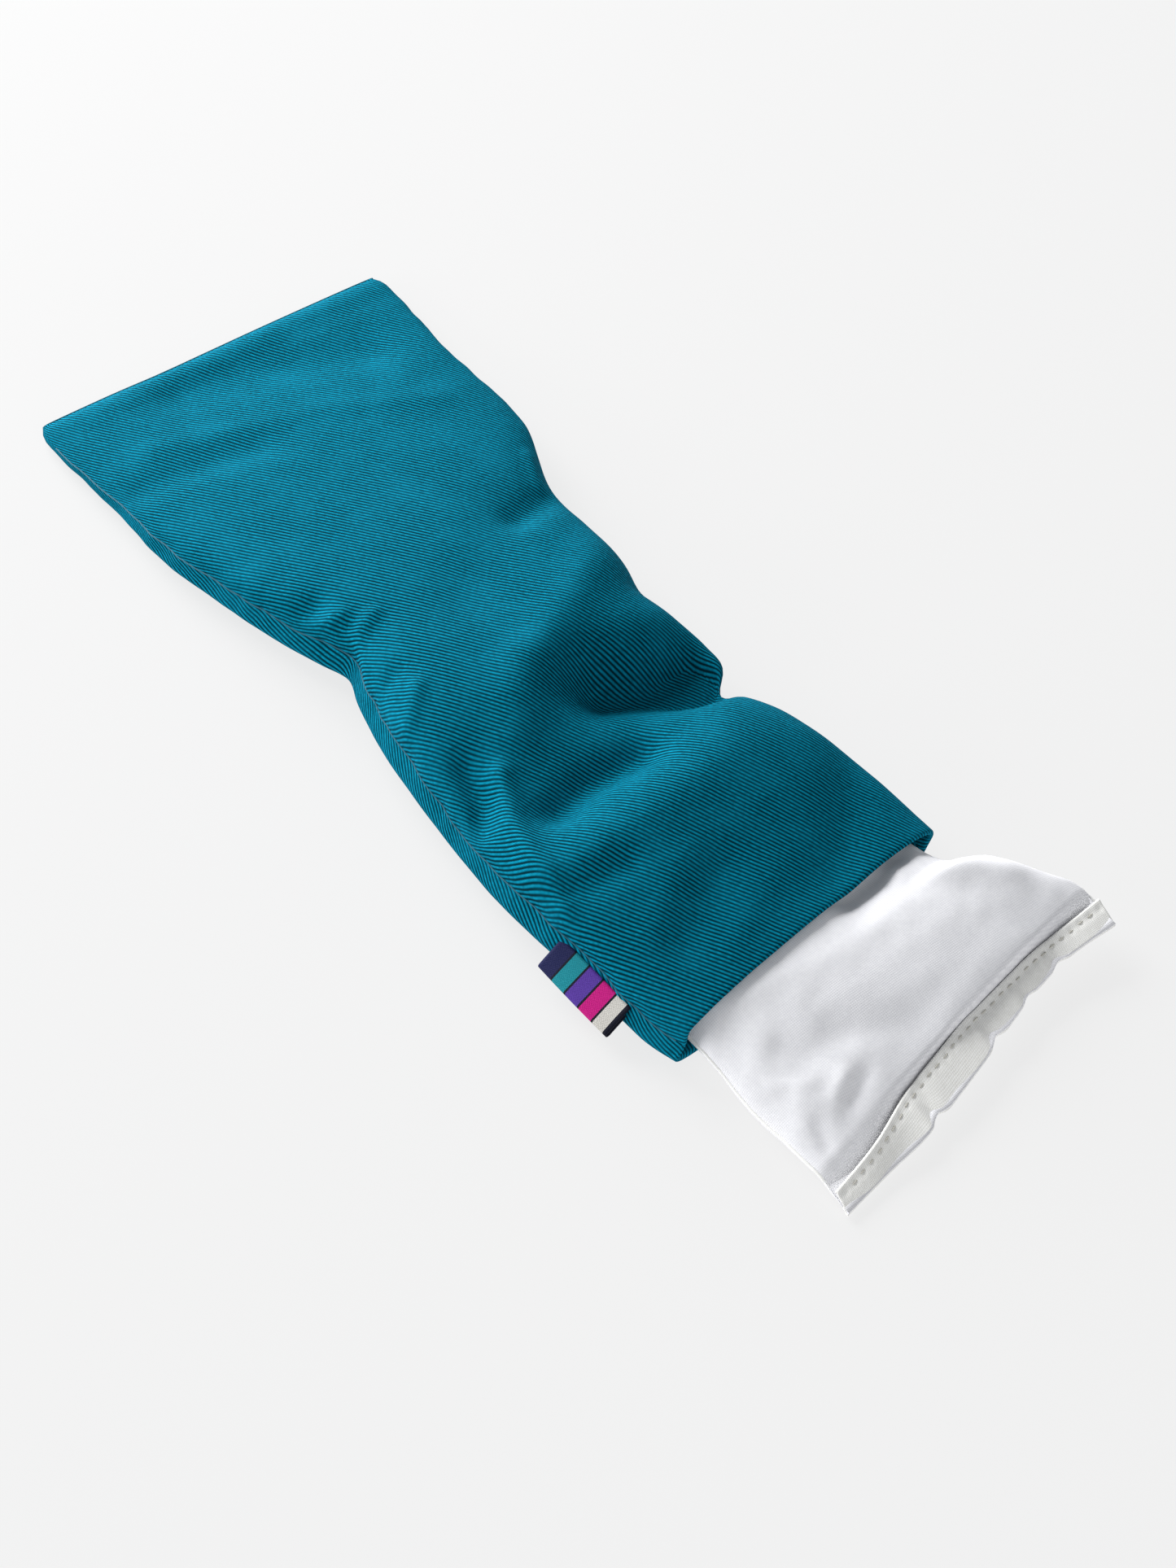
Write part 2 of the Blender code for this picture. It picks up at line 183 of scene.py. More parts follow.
@dataclass(frozen=True)
class TwillFinish(Finish):
    """Cotton drill: a steep twill whose teal dye went in after weaving. Its raised ribs get a painted
    highlight and its furrows a painted dark shade, and the fibres on it are a little faded and linty.

    The scales of the noises are per metre of cloth, and each range holds the noise's low and
    high end and the shares that they give.
    """

    name: str = "teal_cotton_twill"
    roughness: float = 0.86
    specular: float = 0.02
    relief: float = 0.16 * MM
    relief_strength: float = 0.8
    painted_furrow_shade: str = "#002A34"
    painted_rib_highlight: str = "#089CC0"
    faded: str = "#1086A6"
    lint: str = "#0F9CC0"
    lint_weight: float = 0.02
    lint_roughness: float = 0.4
    rib_pitch: float = 0.96 * MM
    rib_angle: float = math.radians(29)
    rib_range: tuple[float, ...] = (-0.75, 0.9)
    yarn_pitch: float = 0.62 * MM
    yarn_skew: float = 2.0
    yarn_range: tuple[float, ...] = (-1.0, 1.0, 0.62, 1.0)
    wander_scale: float = 190.0
    wander_radians: float = 1.1
    slub_scale: float = 900.0
    slub_range: tuple[float, ...] = (0.3, 0.7, 0.55, 1.1)
    wear_scale: float = 60.0
    wear_roughness: float = 0.65
    wear_range: tuple[float, ...] = (0.45, 0.8, 0.0, 0.3)

    def build(self) -> Material:
        """Return the material."""
        made, tree = self.start()
        cloth = add_node(tree, "UVMap", uv_map="cloth").outputs[0]
        wander = add_node(tree, "TexNoise", {"Vector": cloth, "Scale": self.wander_scale, "Detail": 2.0})
        turned = add_node(tree, "Mapping", {"Vector": cloth, "Rotation": (0.0, 0.0, -self.rib_angle)})
        axes = add_node(tree, "SeparateXYZ", {0: turned.outputs[0]})
        wobble = add_node(tree, "Math", {0: wander.outputs[0], 1: self.wander_radians}, operation="MULTIPLY")
        ribs = sine_of(tree, axes.outputs["Y"], self.rib_pitch, wobble.outputs[0])
        skewed = {0: axes.outputs["Y"], 1: self.yarn_skew, 2: axes.outputs["X"]}
        skew = add_node(tree, "Math", skewed, operation="MULTIPLY_ADD")
        yarns = sine_of(tree, skew.outputs[0], self.yarn_pitch, wobble.outputs[0])
        raised = add_node(tree, "MapRange", dict(enumerate((ribs, *self.rib_range))))
        beads = add_node(tree, "MapRange", dict(enumerate((yarns, *self.yarn_range))))
        height = add_node(tree, "Math", {0: raised.outputs[0], 1: beads.outputs[0]}, operation="MULTIPLY")
        slub = add_node(tree, "TexNoise", {"Vector": cloth, "Scale": self.slub_scale, "Detail": 3.0})
        slubs = add_node(tree, "MapRange", dict(enumerate((slub.outputs[0], *self.slub_range))))
        pair = {0: height.outputs[0], 1: slubs.outputs[0]}
        share = add_node(tree, "Math", pair, operation="MULTIPLY", use_clamp=True)
        # painted shade and highlight: the low furrows take a dark teal and the raised ribs a light one, by
        # the weave's height
        tones = {0: share.outputs[0], 6: linear(self.painted_furrow_shade), 7: linear(self.painted_rib_highlight)}
        painted_twill_shading = add_node(tree, "Mix", tones, data_type="RGBA")
        worn_noise = {"Scale": self.wear_scale, "Detail": 6.0, "Roughness": self.wear_roughness}
        wear = add_node(tree, "TexNoise", {"Vector": cloth, **worn_noise})
        worn = add_node(tree, "MapRange", dict(enumerate((wear.outputs[0], *self.wear_range))))
        tones = {0: worn.outputs[0], 6: painted_twill_shading.outputs[2], 7: linear(self.faded)}
        faded = add_node(tree, "Mix", tones, data_type="RGBA")
        shader = self.close(tree, faded.outputs[2], share.outputs[0])
        shader.inputs["Sheen Weight"].default_value = self.lint_weight
        shader.inputs["Sheen Roughness"].default_value = self.lint_roughness
        shader.inputs["Sheen Tint"].default_value = linear(self.lint)
        return made


@dataclass(frozen=True)
class PlainWeaveFinish(Finish):
    """Plain-weave cotton, bleached: matt, with a fine square weave and slight slubs. The thread
    spacing is drawn at 0.5 mm, a little coarser than real, so that it shows."""

    roughness: float = 0.9
    specular: float = 0.2
    relief_strength: float = 0.6
    light: str = "#FFFFFF"
    shade: str = "#E6E6E6"
    fuzz_weight: float = 0.1
    thread_pitch: float = 0.5 * MM
    wander_scale: float = 260.0
    wander_radians: float = 5.0
    slub_scale: float = 700.0
    slub_share: float = 3.0
    weave_range: tuple[float, ...] = (-0.8, 3.6)

    def build(self) -> Material:
        """Return the material."""
        made, tree = self.start()
        cloth = add_node(tree, "UVMap", uv_map="cloth").outputs[0]
        axes = add_node(tree, "SeparateXYZ", {0: cloth})
        wander = add_node(tree, "TexNoise", {"Vector": cloth, "Scale": self.wander_scale, "Detail": 2.0})
        wobble = add_node(tree, "Math", {0: wander.outputs[0], 1: self.wander_radians}, operation="MULTIPLY")
        warp = sine_of(tree, axes.outputs["X"], self.thread_pitch, wobble.outputs[0])
        weft = sine_of(tree, axes.outputs["Y"], self.thread_pitch, wobble.outputs[0])
        crossed = add_node(tree, "Math", {0: warp, 1: weft}, operation="ADD")
        slub = add_node(tree, "TexNoise", {"Vector": cloth, "Scale": self.slub_scale, "Detail": 4.0})
        added = {0: slub.outputs[0], 1: self.slub_share, 2: crossed.outputs[0]}
        mixed = add_node(tree, "Math", added, operation="MULTIPLY_ADD")
        share = add_node(tree, "MapRange", dict(enumerate((mixed.outputs[0], *self.weave_range))))
        tones = {0: share.outputs[0], 6: linear(self.shade), 7: linear(self.light)}
        tone = add_node(tree, "Mix", tones, data_type="RGBA")
        shader = self.close(tree, tone.outputs[2], share.outputs[0])
        shader.inputs["Sheen Weight"].default_value = self.fuzz_weight
        return made


@dataclass(frozen=True)
class RibbonFinish(Finish):
    """Woven taffeta ribbon in polyester: five stripes with fine dark lines between them, ribbed
    across the stripes, with the slight gloss of filament yarn."""

    name: str = "striped_woven_ribbon"
    roughness: float = 0.65
    specular: float = 0.15
    relief_strength: float = 0.7
    stripes: tuple[str, ...] = ("#171C4C", "#0E8794", "#55359A", "#C40F7E", "#CFCCC6")
    line: str = "#0B0E22"
    line_share: float = 0.022
    edge_share: float = 0.05
    width: float = 24.0 * MM
    rib_pitch: float = 0.55 * MM
    pick_pitch: float = 0.44 * MM
    shading_range: tuple[float, ...] = (-1.0, 1.0, 0.72, 1.08)

    def build(self) -> Material:
        """Return the material."""
        made, tree = self.start()
        cloth = add_node(tree, "UVMap", uv_map="cloth").outputs[0]
        axes = add_node(tree, "SeparateXYZ", {0: cloth})
        share = add_node(tree, "Math", {0: axes.outputs["X"], 1: 1 / self.width}, operation="MULTIPLY")
        ramp = add_node(tree, "ValToRGB", {0: share.outputs[0]})
        ramp.color_ramp.interpolation = "CONSTANT"
        steps = self.colour_steps()
        points = ramp.color_ramp.elements
        while len(points) < len(steps):
            points.new(0.5)
        for point, (place, colour) in zip(points, steps):
            point.position = place
            point.color = linear(colour)
        ribs = sine_of(tree, axes.outputs["Y"], self.rib_pitch)
        picks = sine_of(tree, axes.outputs["X"], self.pick_pitch)
        woven = add_node(tree, "Math", {0: ribs, 1: picks}, operation="MULTIPLY")
        # painted shade and highlight: the stripe colours are multiplied by 0.72 to 1.08 by the weave's
        # relief, darker in its hollows and lighter on its ribs
        depth = add_node(tree, "MapRange", dict(enumerate((woven.outputs[0], *self.shading_range))))
        tones = {0: 1.0, 6: ramp.outputs[0], 7: depth.outputs[0]}
        stripes_with_painted_shading = add_node(tree, "Mix", tones, data_type="RGBA", blend_type="MULTIPLY")
        self.close(tree, stripes_with_painted_shading.outputs[2], woven.outputs[0])
        return made

    def colour_steps(self) -> list[tuple[float, str]]:
        """Return the places along the ribbon's width where its colour changes."""
        steps = []
        count = len(self.stripes)
        for index, colour in enumerate(self.stripes):
            start = index / count
            if index:
                steps.append((start - self.line_share / 2, self.line))
            steps.append((start + self.line_share / 2 if index else 0.0, colour))
        steps.append((1.0 - self.edge_share, self.line))
        return steps


@dataclass(frozen=True)
class ThreadFinish(Finish):
    """Spun polyester sewing thread: matt, with a fine twist of fibres."""

    colour: str = "#FFFFFF"
    painted_hollow_shade: str = "#E6E6E6"
    fibre_scale: float = 4000.0

    def build(self) -> Material:
        """Return the material."""
        made, tree = self.start()
        place = add_node(tree, "TexCoord").outputs["Object"]
        fibre = add_node(tree, "TexNoise", {"Vector": place, "Scale": self.fibre_scale, "Detail": 2.0})
        # random fibre tone, with the darker tone in the relief's hollows as painted shade
        tones = {0: fibre.outputs[0], 6: linear(self.painted_hollow_shade), 7: linear(self.colour)}
        tone = add_node(tree, "Mix", tones, data_type="RGBA")
        self.close(tree, tone.outputs[2], fibre.outputs[0])
        return made


@dataclass(frozen=True)
class SeedFinish(Finish):
    """Flax seed: small glossy brown grains about 2.4 mm apart, inside the closed bag."""

    name: str = "brown_flax_seed"
    roughness: float = 0.4
    relief: float = 0.4 * MM
    relief_strength: float = 0.8
    dark: str = "#4A2A12"
    light: str = "#8A5A2C"
    grain_scale: float = 420.0

    def build(self) -> Material:
        """Return the material."""
        made, tree = self.start()
        place = add_node(tree, "TexCoord").outputs["Object"]
        grains = add_node(tree, "TexVoronoi", {"Vector": place, "Scale": self.grain_scale})
        tones = {0: grains.outputs["Distance"], 6: linear(self.dark), 7: linear(self.light)}
        tone = add_node(tree, "Mix", tones, data_type="RGBA")
        self.close(tree, tone.outputs[2], grains.outputs["Distance"])
        return made


# ---------------------------------------------------------------- shape tools


def smooth_share(value: np.ndarray) -> np.ndarray:
    """Return a smooth step from 0 to 1 for shares held between 0 and 1."""
    held = np.clip(value, 0.0, 1.0)
    return held * held * (3 - 2 * held)


def along(places: Sequence[float], values: Sequence[float], at: np.ndarray) -> np.ndarray:
    """Evaluate a smooth curve through the values at the places.

    Args:
        places: rising places of the known values.
        values: the known values.
        at: places to evaluate, of any array shape.

    Returns:
        The values there, held constant past both ends.
    """
    xs = np.asarray(places, float)
    ys = np.asarray(values, float)
    slopes = np.gradient(ys, xs)
    held = np.clip(np.asarray(at, float), xs[0], xs[-1])
    index = np.clip(np.searchsorted(xs, held, side="right") - 1, 0, len(xs) - 2)
    step = xs[index + 1] - xs[index]
    t = (held - xs[index]) / step
    start = ys[index] * (1 + 2 * t) * (1 - t) ** 2 + slopes[index] * step * t * (1 - t) ** 2
    end = ys[index + 1] * t * t * (3 - 2 * t) + slopes[index + 1] * step * t * t * (t - 1)
    return start + end


@dataclass(frozen=True)
class Stroke:
    """A fold or a dent: a line on the plan that lifts or sinks the cloth along it."""

    rise: float
    reach: float
    path: Line

    def lift(self, x: np.ndarray, y: np.ndarray) -> np.ndarray:
        """Return how far the cloth rises at plan places in millimetres."""
        nearest = np.full(np.shape(x), np.inf)
        for (ax, ay), (bx, by) in zip(self.path, self.path[1:]):
            dx, dy = bx - ax, by - ay
            share = np.clip(((x - ax) * dx + (y - ay) * dy) / (dx * dx + dy * dy), 0, 1)
            gap = (x - ax - share * dx) ** 2 + (y - ay - share * dy) ** 2
            nearest = np.minimum(nearest, gap)
        return self.rise * np.exp(-nearest / self.reach**2)


def total_lift(strokes: tuple[Stroke, ...], x: np.ndarray, y: np.ndarray) -> np.ndarray:
    """Return the sum of all strokes at plan places in millimetres."""
    lift = np.zeros(np.shape(x))
    for stroke in strokes:
        lift = lift + stroke.lift(x, y)
    return lift


def wrinkle(x: np.ndarray, y: np.ndarray, scale: float, seed: float) -> np.ndarray:
    """Return smooth noise from -1 to 1 over plan places, the same each run.

    Args:
        x: places along the length.
        y: places across.
        scale: millimetres per swell.
        seed: which noise.

    Returns:
        The noise, in the shape of x.
    """
    pairs = zip(np.ravel(x), np.ravel(y))
    flat = [noise.noise(Vector((a / scale, b / scale, seed))) for a, b in pairs]
    return np.reshape(flat, np.shape(x))


@dataclass(frozen=True)
class Station:
    """One cross-section: where its sides, its widest height, its crown and its keel are."""

    x: float
    left: float
    right: float
    widest: float
    crown: float
    keel: float
    tilt: float = 0.0


@dataclass(frozen=True)
class SoftTube:
    """A filled sleeve through stations, with folds on its upper side. Millimetres."""

    stations: tuple[Station, ...]
    strokes: tuple[Stroke, ...]
    slant: Line
    crown_power: float = 3.0
    keel_power: float = 2.6
    keel_aim: float = 1.2
    floor: float = 0.4
    least_rise: float = 0.22
    fold_fade: float = 0.75

    def value(self, name: str, x: np.ndarray) -> np.ndarray:
        """Return one outline value along the length."""
        return along([s.x for s in self.stations], [getattr(s, name) for s in self.stations], x)

    def shear(self, x: np.ndarray) -> np.ndarray:
        """Return how far the cross-section at x leans along X per unit of Y."""
        return along([p[0] for p in self.slant], [p[1] for p in self.slant], x)

    def middle(self, x: np.ndarray) -> np.ndarray:
        """Return where the middle between the two sides is at x."""
        return (self.value("right", x) + self.value("left", x)) / 2

    def half(self, x: np.ndarray) -> np.ndarray:
        """Return half the width at x."""
        return (self.value("right", x) - self.value("left", x)) / 2

    def surface(self, x: np.ndarray, angle: np.ndarray) -> np.ndarray:
        """Return the outer surface.

        Args:
            x: places along the length.
            angle: angle round the section, 0 at +Y, a quarter turn at the crown.

        Returns:
            The points in millimetres, with x, y and z on the last axis.
        """
        half, middle = self.half(x), self.middle(x)
        across, upward = np.cos(angle), np.sin(angle)
        top_y = np.sign(across) * np.abs(across) ** (2 / self.crown_power)
        low_y = np.sign(across) * np.abs(across) ** (2 / self.keel_power)
        y = middle + half * np.where(upward >= 0, top_y, low_y)
        rise = self.value("crown", x) * np.clip(upward, 0, 1) ** (2 / self.crown_power)
        keel = self.value("keel", x) * self.keel_aim
        drop = keel * np.clip(-upward, 0, 1) ** (2 / self.keel_power)
        plan_x = x + self.shear(x) * y
        rise = self.folded(rise, plan_x, y, upward)
        z = self.value("widest", x) + self.value("tilt", x) * (y - middle) / half + rise - drop
        return np.stack((plan_x, y, np.maximum(z, self.floor)), axis=2)

    def folded(self, rise: np.ndarray, plan_x: np.ndarray, y: np.ndarray, upward: np.ndarray) -> np.ndarray:
        """Return the upper side's rise with its folds, none of which cuts through the keel.

        Args:
            rise: the rise without folds.
            plan_x: plan places along X.
            y: plan places along Y.
            upward: 0 at the sides and 1 at the crown.

        Returns:
            The rise with folds, which fade out towards the sides.
        """
        folds = total_lift(self.strokes, plan_x, y) * smooth_share(upward / self.fold_fade)
        return np.maximum(rise + folds, self.least_rise * rise)

    def height(self, plan_x: np.ndarray, y: np.ndarray) -> np.ndarray:
        """Find the upper surface over the plan.

        Args:
            plan_x: plan places along X, inside the outline.
            y: plan places along Y.

        Returns:
            The heights in millimetres.
        """
        x = plan_x
        for _ in range(3):
            x = plan_x - self.shear(x) * y
        half, middle = self.half(x), self.middle(x)
        share = np.clip(np.abs((y - middle) / half), 0, 1)
        arch = (1 - share**self.crown_power) ** (1 / self.crown_power)
        upward = np.sqrt(np.clip(1 - share**self.crown_power, 0, 1))
        rise = self.folded(self.value("crown", x) * arch, plan_x, y, upward)
        return self.value("widest", x) + self.value("tilt", x) * (y - middle) / half + rise


def pick(*pieces: bpy.types.Object) -> None:
    """Make these pieces the only selected ones and the first of them active."""
    for item in bpy.context.selected_objects:
        item.select_set(False)
    for piece in pieces:
        piece.select_set(True)
    bpy.context.view_layer.objects.active = pieces[0] if pieces else None


def declare(piece: bpy.types.Object, body: Body, slot: Slot, *nodes: str) -> None:
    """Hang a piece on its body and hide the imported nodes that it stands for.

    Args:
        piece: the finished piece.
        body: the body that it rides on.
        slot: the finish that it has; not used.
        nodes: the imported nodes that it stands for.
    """
    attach(piece, body.value)
    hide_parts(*nodes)
    LOG.info("built %s", piece.name)


def grid_piece(
    name: str, points: np.ndarray, uv: np.ndarray, material: Material, closed: bool = False
) -> bpy.types.Object:
    """Build a sheet from a grid of points.

    Args:
        name: the piece's name.
        points: array of rows, columns and three coordinates in millimetres.
        uv: array of rows, columns and two cloth lengths in metres.
        material: the piece's finish.
        closed: whether the last column joins the first.

    Returns:
        The new object, with its rows running along the length.
    """
    rows, columns = points.shape[:2]
    faces = []
    corner_uv = []
    for i in range(rows - 1):
        for j in range(columns if closed else columns - 1):
            k = (j + 1) % columns
            faces.append((i * columns + j, i * columns + k, (i + 1) * columns + k, (i + 1) * columns + j))
            for a, b in ((i, j), (i, j + 1), (i + 1, j + 1), (i + 1, j)):
                corner_uv.extend(uv[a, min(b, columns - 1)])
    mesh = bpy.data.meshes.new(name)
    mesh.from_pydata((points.reshape(-1, 3) * MM).tolist(), [], faces)
    layer = mesh.uv_layers.new(name="cloth")
    layer.data.foreach_set("uv", np.asarray(corner_uv, float))
    mesh.materials.append(material)
    mesh.shade_smooth()
    piece = bpy.data.objects.new(name, mesh)
    bpy.context.collection.objects.link(piece)
    return piece


def thicken(piece: bpy.types.Object, thickness: float) -> None:
    """Give a sheet its wall in millimetres, inwards from its outer face."""
    wall = piece.modifiers.new("wall", "SOLIDIFY")
    wall.thickness = thickness * MM
    wall.offset = -1.0
    wall.use_quality_normals = True
    pick(piece)
    bpy.ops.object.modifier_apply(modifier=wall.name)


def grid_normals(points: np.ndarray) -> np.ndarray:
    """Return unit normals of a grid, from its columns and rows."""
    down = np.gradient(points, axis=0)
    across = np.gradient(points, axis=1)
    normal = np.cross(across, down)
    length = np.linalg.norm(normal, axis=2, keepdims=True)
    return normal / np.maximum(length, 1e-9)


def cloth_uv(points: np.ndarray) -> np.ndarray:
    """Return cloth lengths over a grid, with the weave straight along the object.

    Lengths across start from the middle of each row, so that the weave runs on unbent over
    folds and follows the cloth down both sides.

    Args:
        points: the grid in millimetres.

    Returns:
        The lengths along and across in metres.
    """
    rows, columns = points.shape[:2]
    flat = points.copy()
    flat[..., 2] = flat[..., 2].mean(axis=0, keepdims=True)
    steps = np.linalg.norm(np.diff(flat[..., 1:], axis=1), axis=2)
    across = np.concatenate((np.zeros((rows, 1)), np.cumsum(steps, axis=1)), axis=1)
    middle = columns // 2
    sign = np.sign(points[0, middle + 1, 1] - points[0, middle - 1, 1])
    across = points[:, middle, 1][:, None] + sign * (across - across[:, middle][:, None])
    return np.stack((points[..., 0], across), axis=2) * MM


def thread_piece(name: str, points: np.ndarray, radius: float, material: Material) -> bpy.types.Object:
    """Build a round thread as a mesh tube.

    Args:
        name: the piece's name.
        points: the thread's middle line in millimetres.
        radius: the thread's radius in millimetres.
        material: its finish.

    Returns:
        The new object.
    """
    curve = bpy.data.curves.new(name, "CURVE")
    curve.dimensions = "3D"
    curve.bevel_depth = radius * MM
    curve.bevel_resolution = 1
    curve.use_fill_caps = True
    spline = curve.splines.new("POLY")
    spline.points.add(len(points) - 1)
    for place, point in zip(spline.points, points):
        place.co = (*(c * MM for c in point), 1.0)
    spline.use_smooth = True
    curve.materials.append(material)
    piece = bpy.data.objects.new(name, curve)
    bpy.context.collection.objects.link(piece)
    pick(piece)
    bpy.ops.object.convert(target="MESH")
    bpy.ops.object.shade_smooth()
    return bpy.context.view_layer.objects.active


# ---------------------------------------------------------------- the cover

COVER_SHAPE = SoftTube(
    stations=(
        Station(-126.0, -50.8, 50.9, 2.2, 0.5, 0.6),
        Station(-124.5, -51.8, 51.6, 2.2, 1.6, 1.2),
        Station(-115.0, -53.4, 52.2, 2.6, 2.9, 1.8),
        Station(-100.0, -53.9, 51.6, 3.6, 4.3, 3.2),
        Station(-85.0, -54.0, 50.0, 4.8, 5.7, 4.4),
        Station(-68.0, -53.8, 49.0, 5.8, 7.6, 5.4),
        Station(-54.0, -51.4, 48.2, 6.4, 9.2, 6.0),
        Station(-44.0, -49.4, 46.4, 6.6, 10.6, 6.2),
        Station(-36.0, -47.6, 42.9, 6.8, 11.6, 6.4),
        Station(-24.0, -44.4, 37.6, 7.0, 13.2, 6.6),
        Station(-14.0, -41.2, 36.0, 7.0, 14.6, 6.6),
        Station(-6.0, -38.6, 35.8, 7.0, 15.6, 6.6),
        Station(2.0, -41.2, 35.4, 7.0, 16.6, 6.6),
        Station(12.0, -43.8, 34.4, 7.0, 17.6, 6.6),
        Station(20.0, -45.4, 32.3, 7.0, 18.0, 6.6),
        Station(32.0, -47.0, 33.6, 7.0, 17.6, 6.6),
        Station(42.0, -48.2, 35.4, 7.0, 14.8, 6.6),
        Station(50.0, -49.0, 34.6, 7.0, 12.8, 6.6),
        Station(56.0, -49.4, 29.4, 7.0, 12.4, 6.6),
        Station(63.0, -49.8, 32.6, 7.0, 14.0, 6.6),
        Station(71.0, -49.8, 35.6, 7.0, 16.2, 6.6),
        Station(82.0, -49.2, 37.8, 7.0, 18.0, 6.6),
        Station(92.0, -48.4, 39.6, 6.8, 16.8, 6.4),
        Station(104.0, -47.6, 41.4, 6.6, 13.8, 6.2),
        Station(118.0, -46.6, 42.6, 6.2, 11.2, 5.8),
        Station(124.0, -45.0, 43.0, 6.0, 10.8, 5.4),
    ),
    strokes=(
        # the slack far end dips behind its seam, then folds up to the filled part
        Stroke(-2.3, 10.0, ((-114.0, -15.0), (-110.8, -1.6), (-104.4, 13.0), (-97.0, 30.0))),
        Stroke(0.6, 4.0, ((-100.0, -35.0), (-92.0, -16.0), (-82.0, 7.0), (-66.0, 32.0))),
        Stroke(-1.1, 5.4, ((-88.0, -46.0), (-87.0, -38.0), (-84.5, -26.0), (-80.0, -15.0))),
        # deep dent between the two filled parts, with a pinch at the right side
        Stroke(-10.5, 8.0, ((42.0, 3.0), (46.0, 11.0), (51.0, 22.0))),
        Stroke(-3.0, 7.0, ((42.0, 34.0), (46.0, 24.0))),
        Stroke(-5.0, 5.0, ((50.0, 25.0), (55.0, 29.0))),
        Stroke(-5.4, 6.0, ((66.0, -28.0), (64.0, -16.0), (65.0, -4.0))),
        Stroke(2.0, 7.0, ((6.0, 34.0), (14.0, 22.0), (22.0, 6.0), (30.0, -10.0), (44.0, -24.0))),
        Stroke(1.1, 7.5, ((66.0, 24.0), (75.0, 14.0), (81.0, -2.0), (83.0, -20.0), (80.0, -38.0))),
        # the right side steps in at two pinches
        Stroke(-2.4, 5.0, ((-20.0, 37.0), (-16.0, 28.0), (-14.0, 20.0))),
        Stroke(1.2, 2.0, ((-33.0, 38.0), (-22.0, 33.0))),
        Stroke(-1.2, 3.4, ((21.0, 36.0), (22.0, 31.0))),
        Stroke(-1.2, 9.0, ((-20.0, 20.0), (-5.0, 5.0), (4.0, -8.0))),
        # puckers that fan out of the left seam where the sides draw in
        Stroke(-1.9, 3.6, ((-24.0, -43.0), (-22.0, -37.0))),
        Stroke(0.7, 1.8, ((-17.0, -42.0), (-15.0, -33.0))),
        Stroke(-0.7, 1.9, ((-12.0, -40.0), (-11.5, -34.0))),
        Stroke(1.1, 2.1, ((4.0, -42.0), (-3.0, -38.0), (-7.0, -34.0), (-9.0, -28.0))),
        Stroke(-0.9, 2.2, ((-1.0, -43.0), (-5.0, -39.0))),
        Stroke(-1.1, 2.8, ((13.0, -43.0), (10.0, -35.0))),
        Stroke(1.2, 2.4, ((25.0, -43.0), (18.0, -34.0))),
        # the ridge beside the label and the soft folds from it to the mouth
        Stroke(-2.2, 3.4, ((43.0, -38.0), (52.0, -40.0), (58.0, -45.0))),
        Stroke(2.4, 3.4, ((50.0, -33.0), (62.0, -39.0), (76.0, -43.0), (89.0, -45.0))),
        Stroke(-1.5, 3.6, ((85.0, -45.0), (89.0, -37.0), (90.0, -27.0))),
        Stroke(0.6, 3.6, ((107.0, -34.0), (96.0, -14.0))),
        Stroke(-0.7, 4.0, ((113.0, -28.0), (102.0, -8.0))),
        Stroke(0.6, 3.8, ((120.0, -20.0), (110.0, 0.0))),
        Stroke(-1.4, 6.0, ((96.0, 36.0), (106.0, 26.0), (118.0, 12.0))),
    ),
    slant=((-126.0, 0.06), (-95.0, 0.02), (-70.0, 0.0), (60.0, 0.0), (95.0, -0.06), (126.0, -0.13)),
)


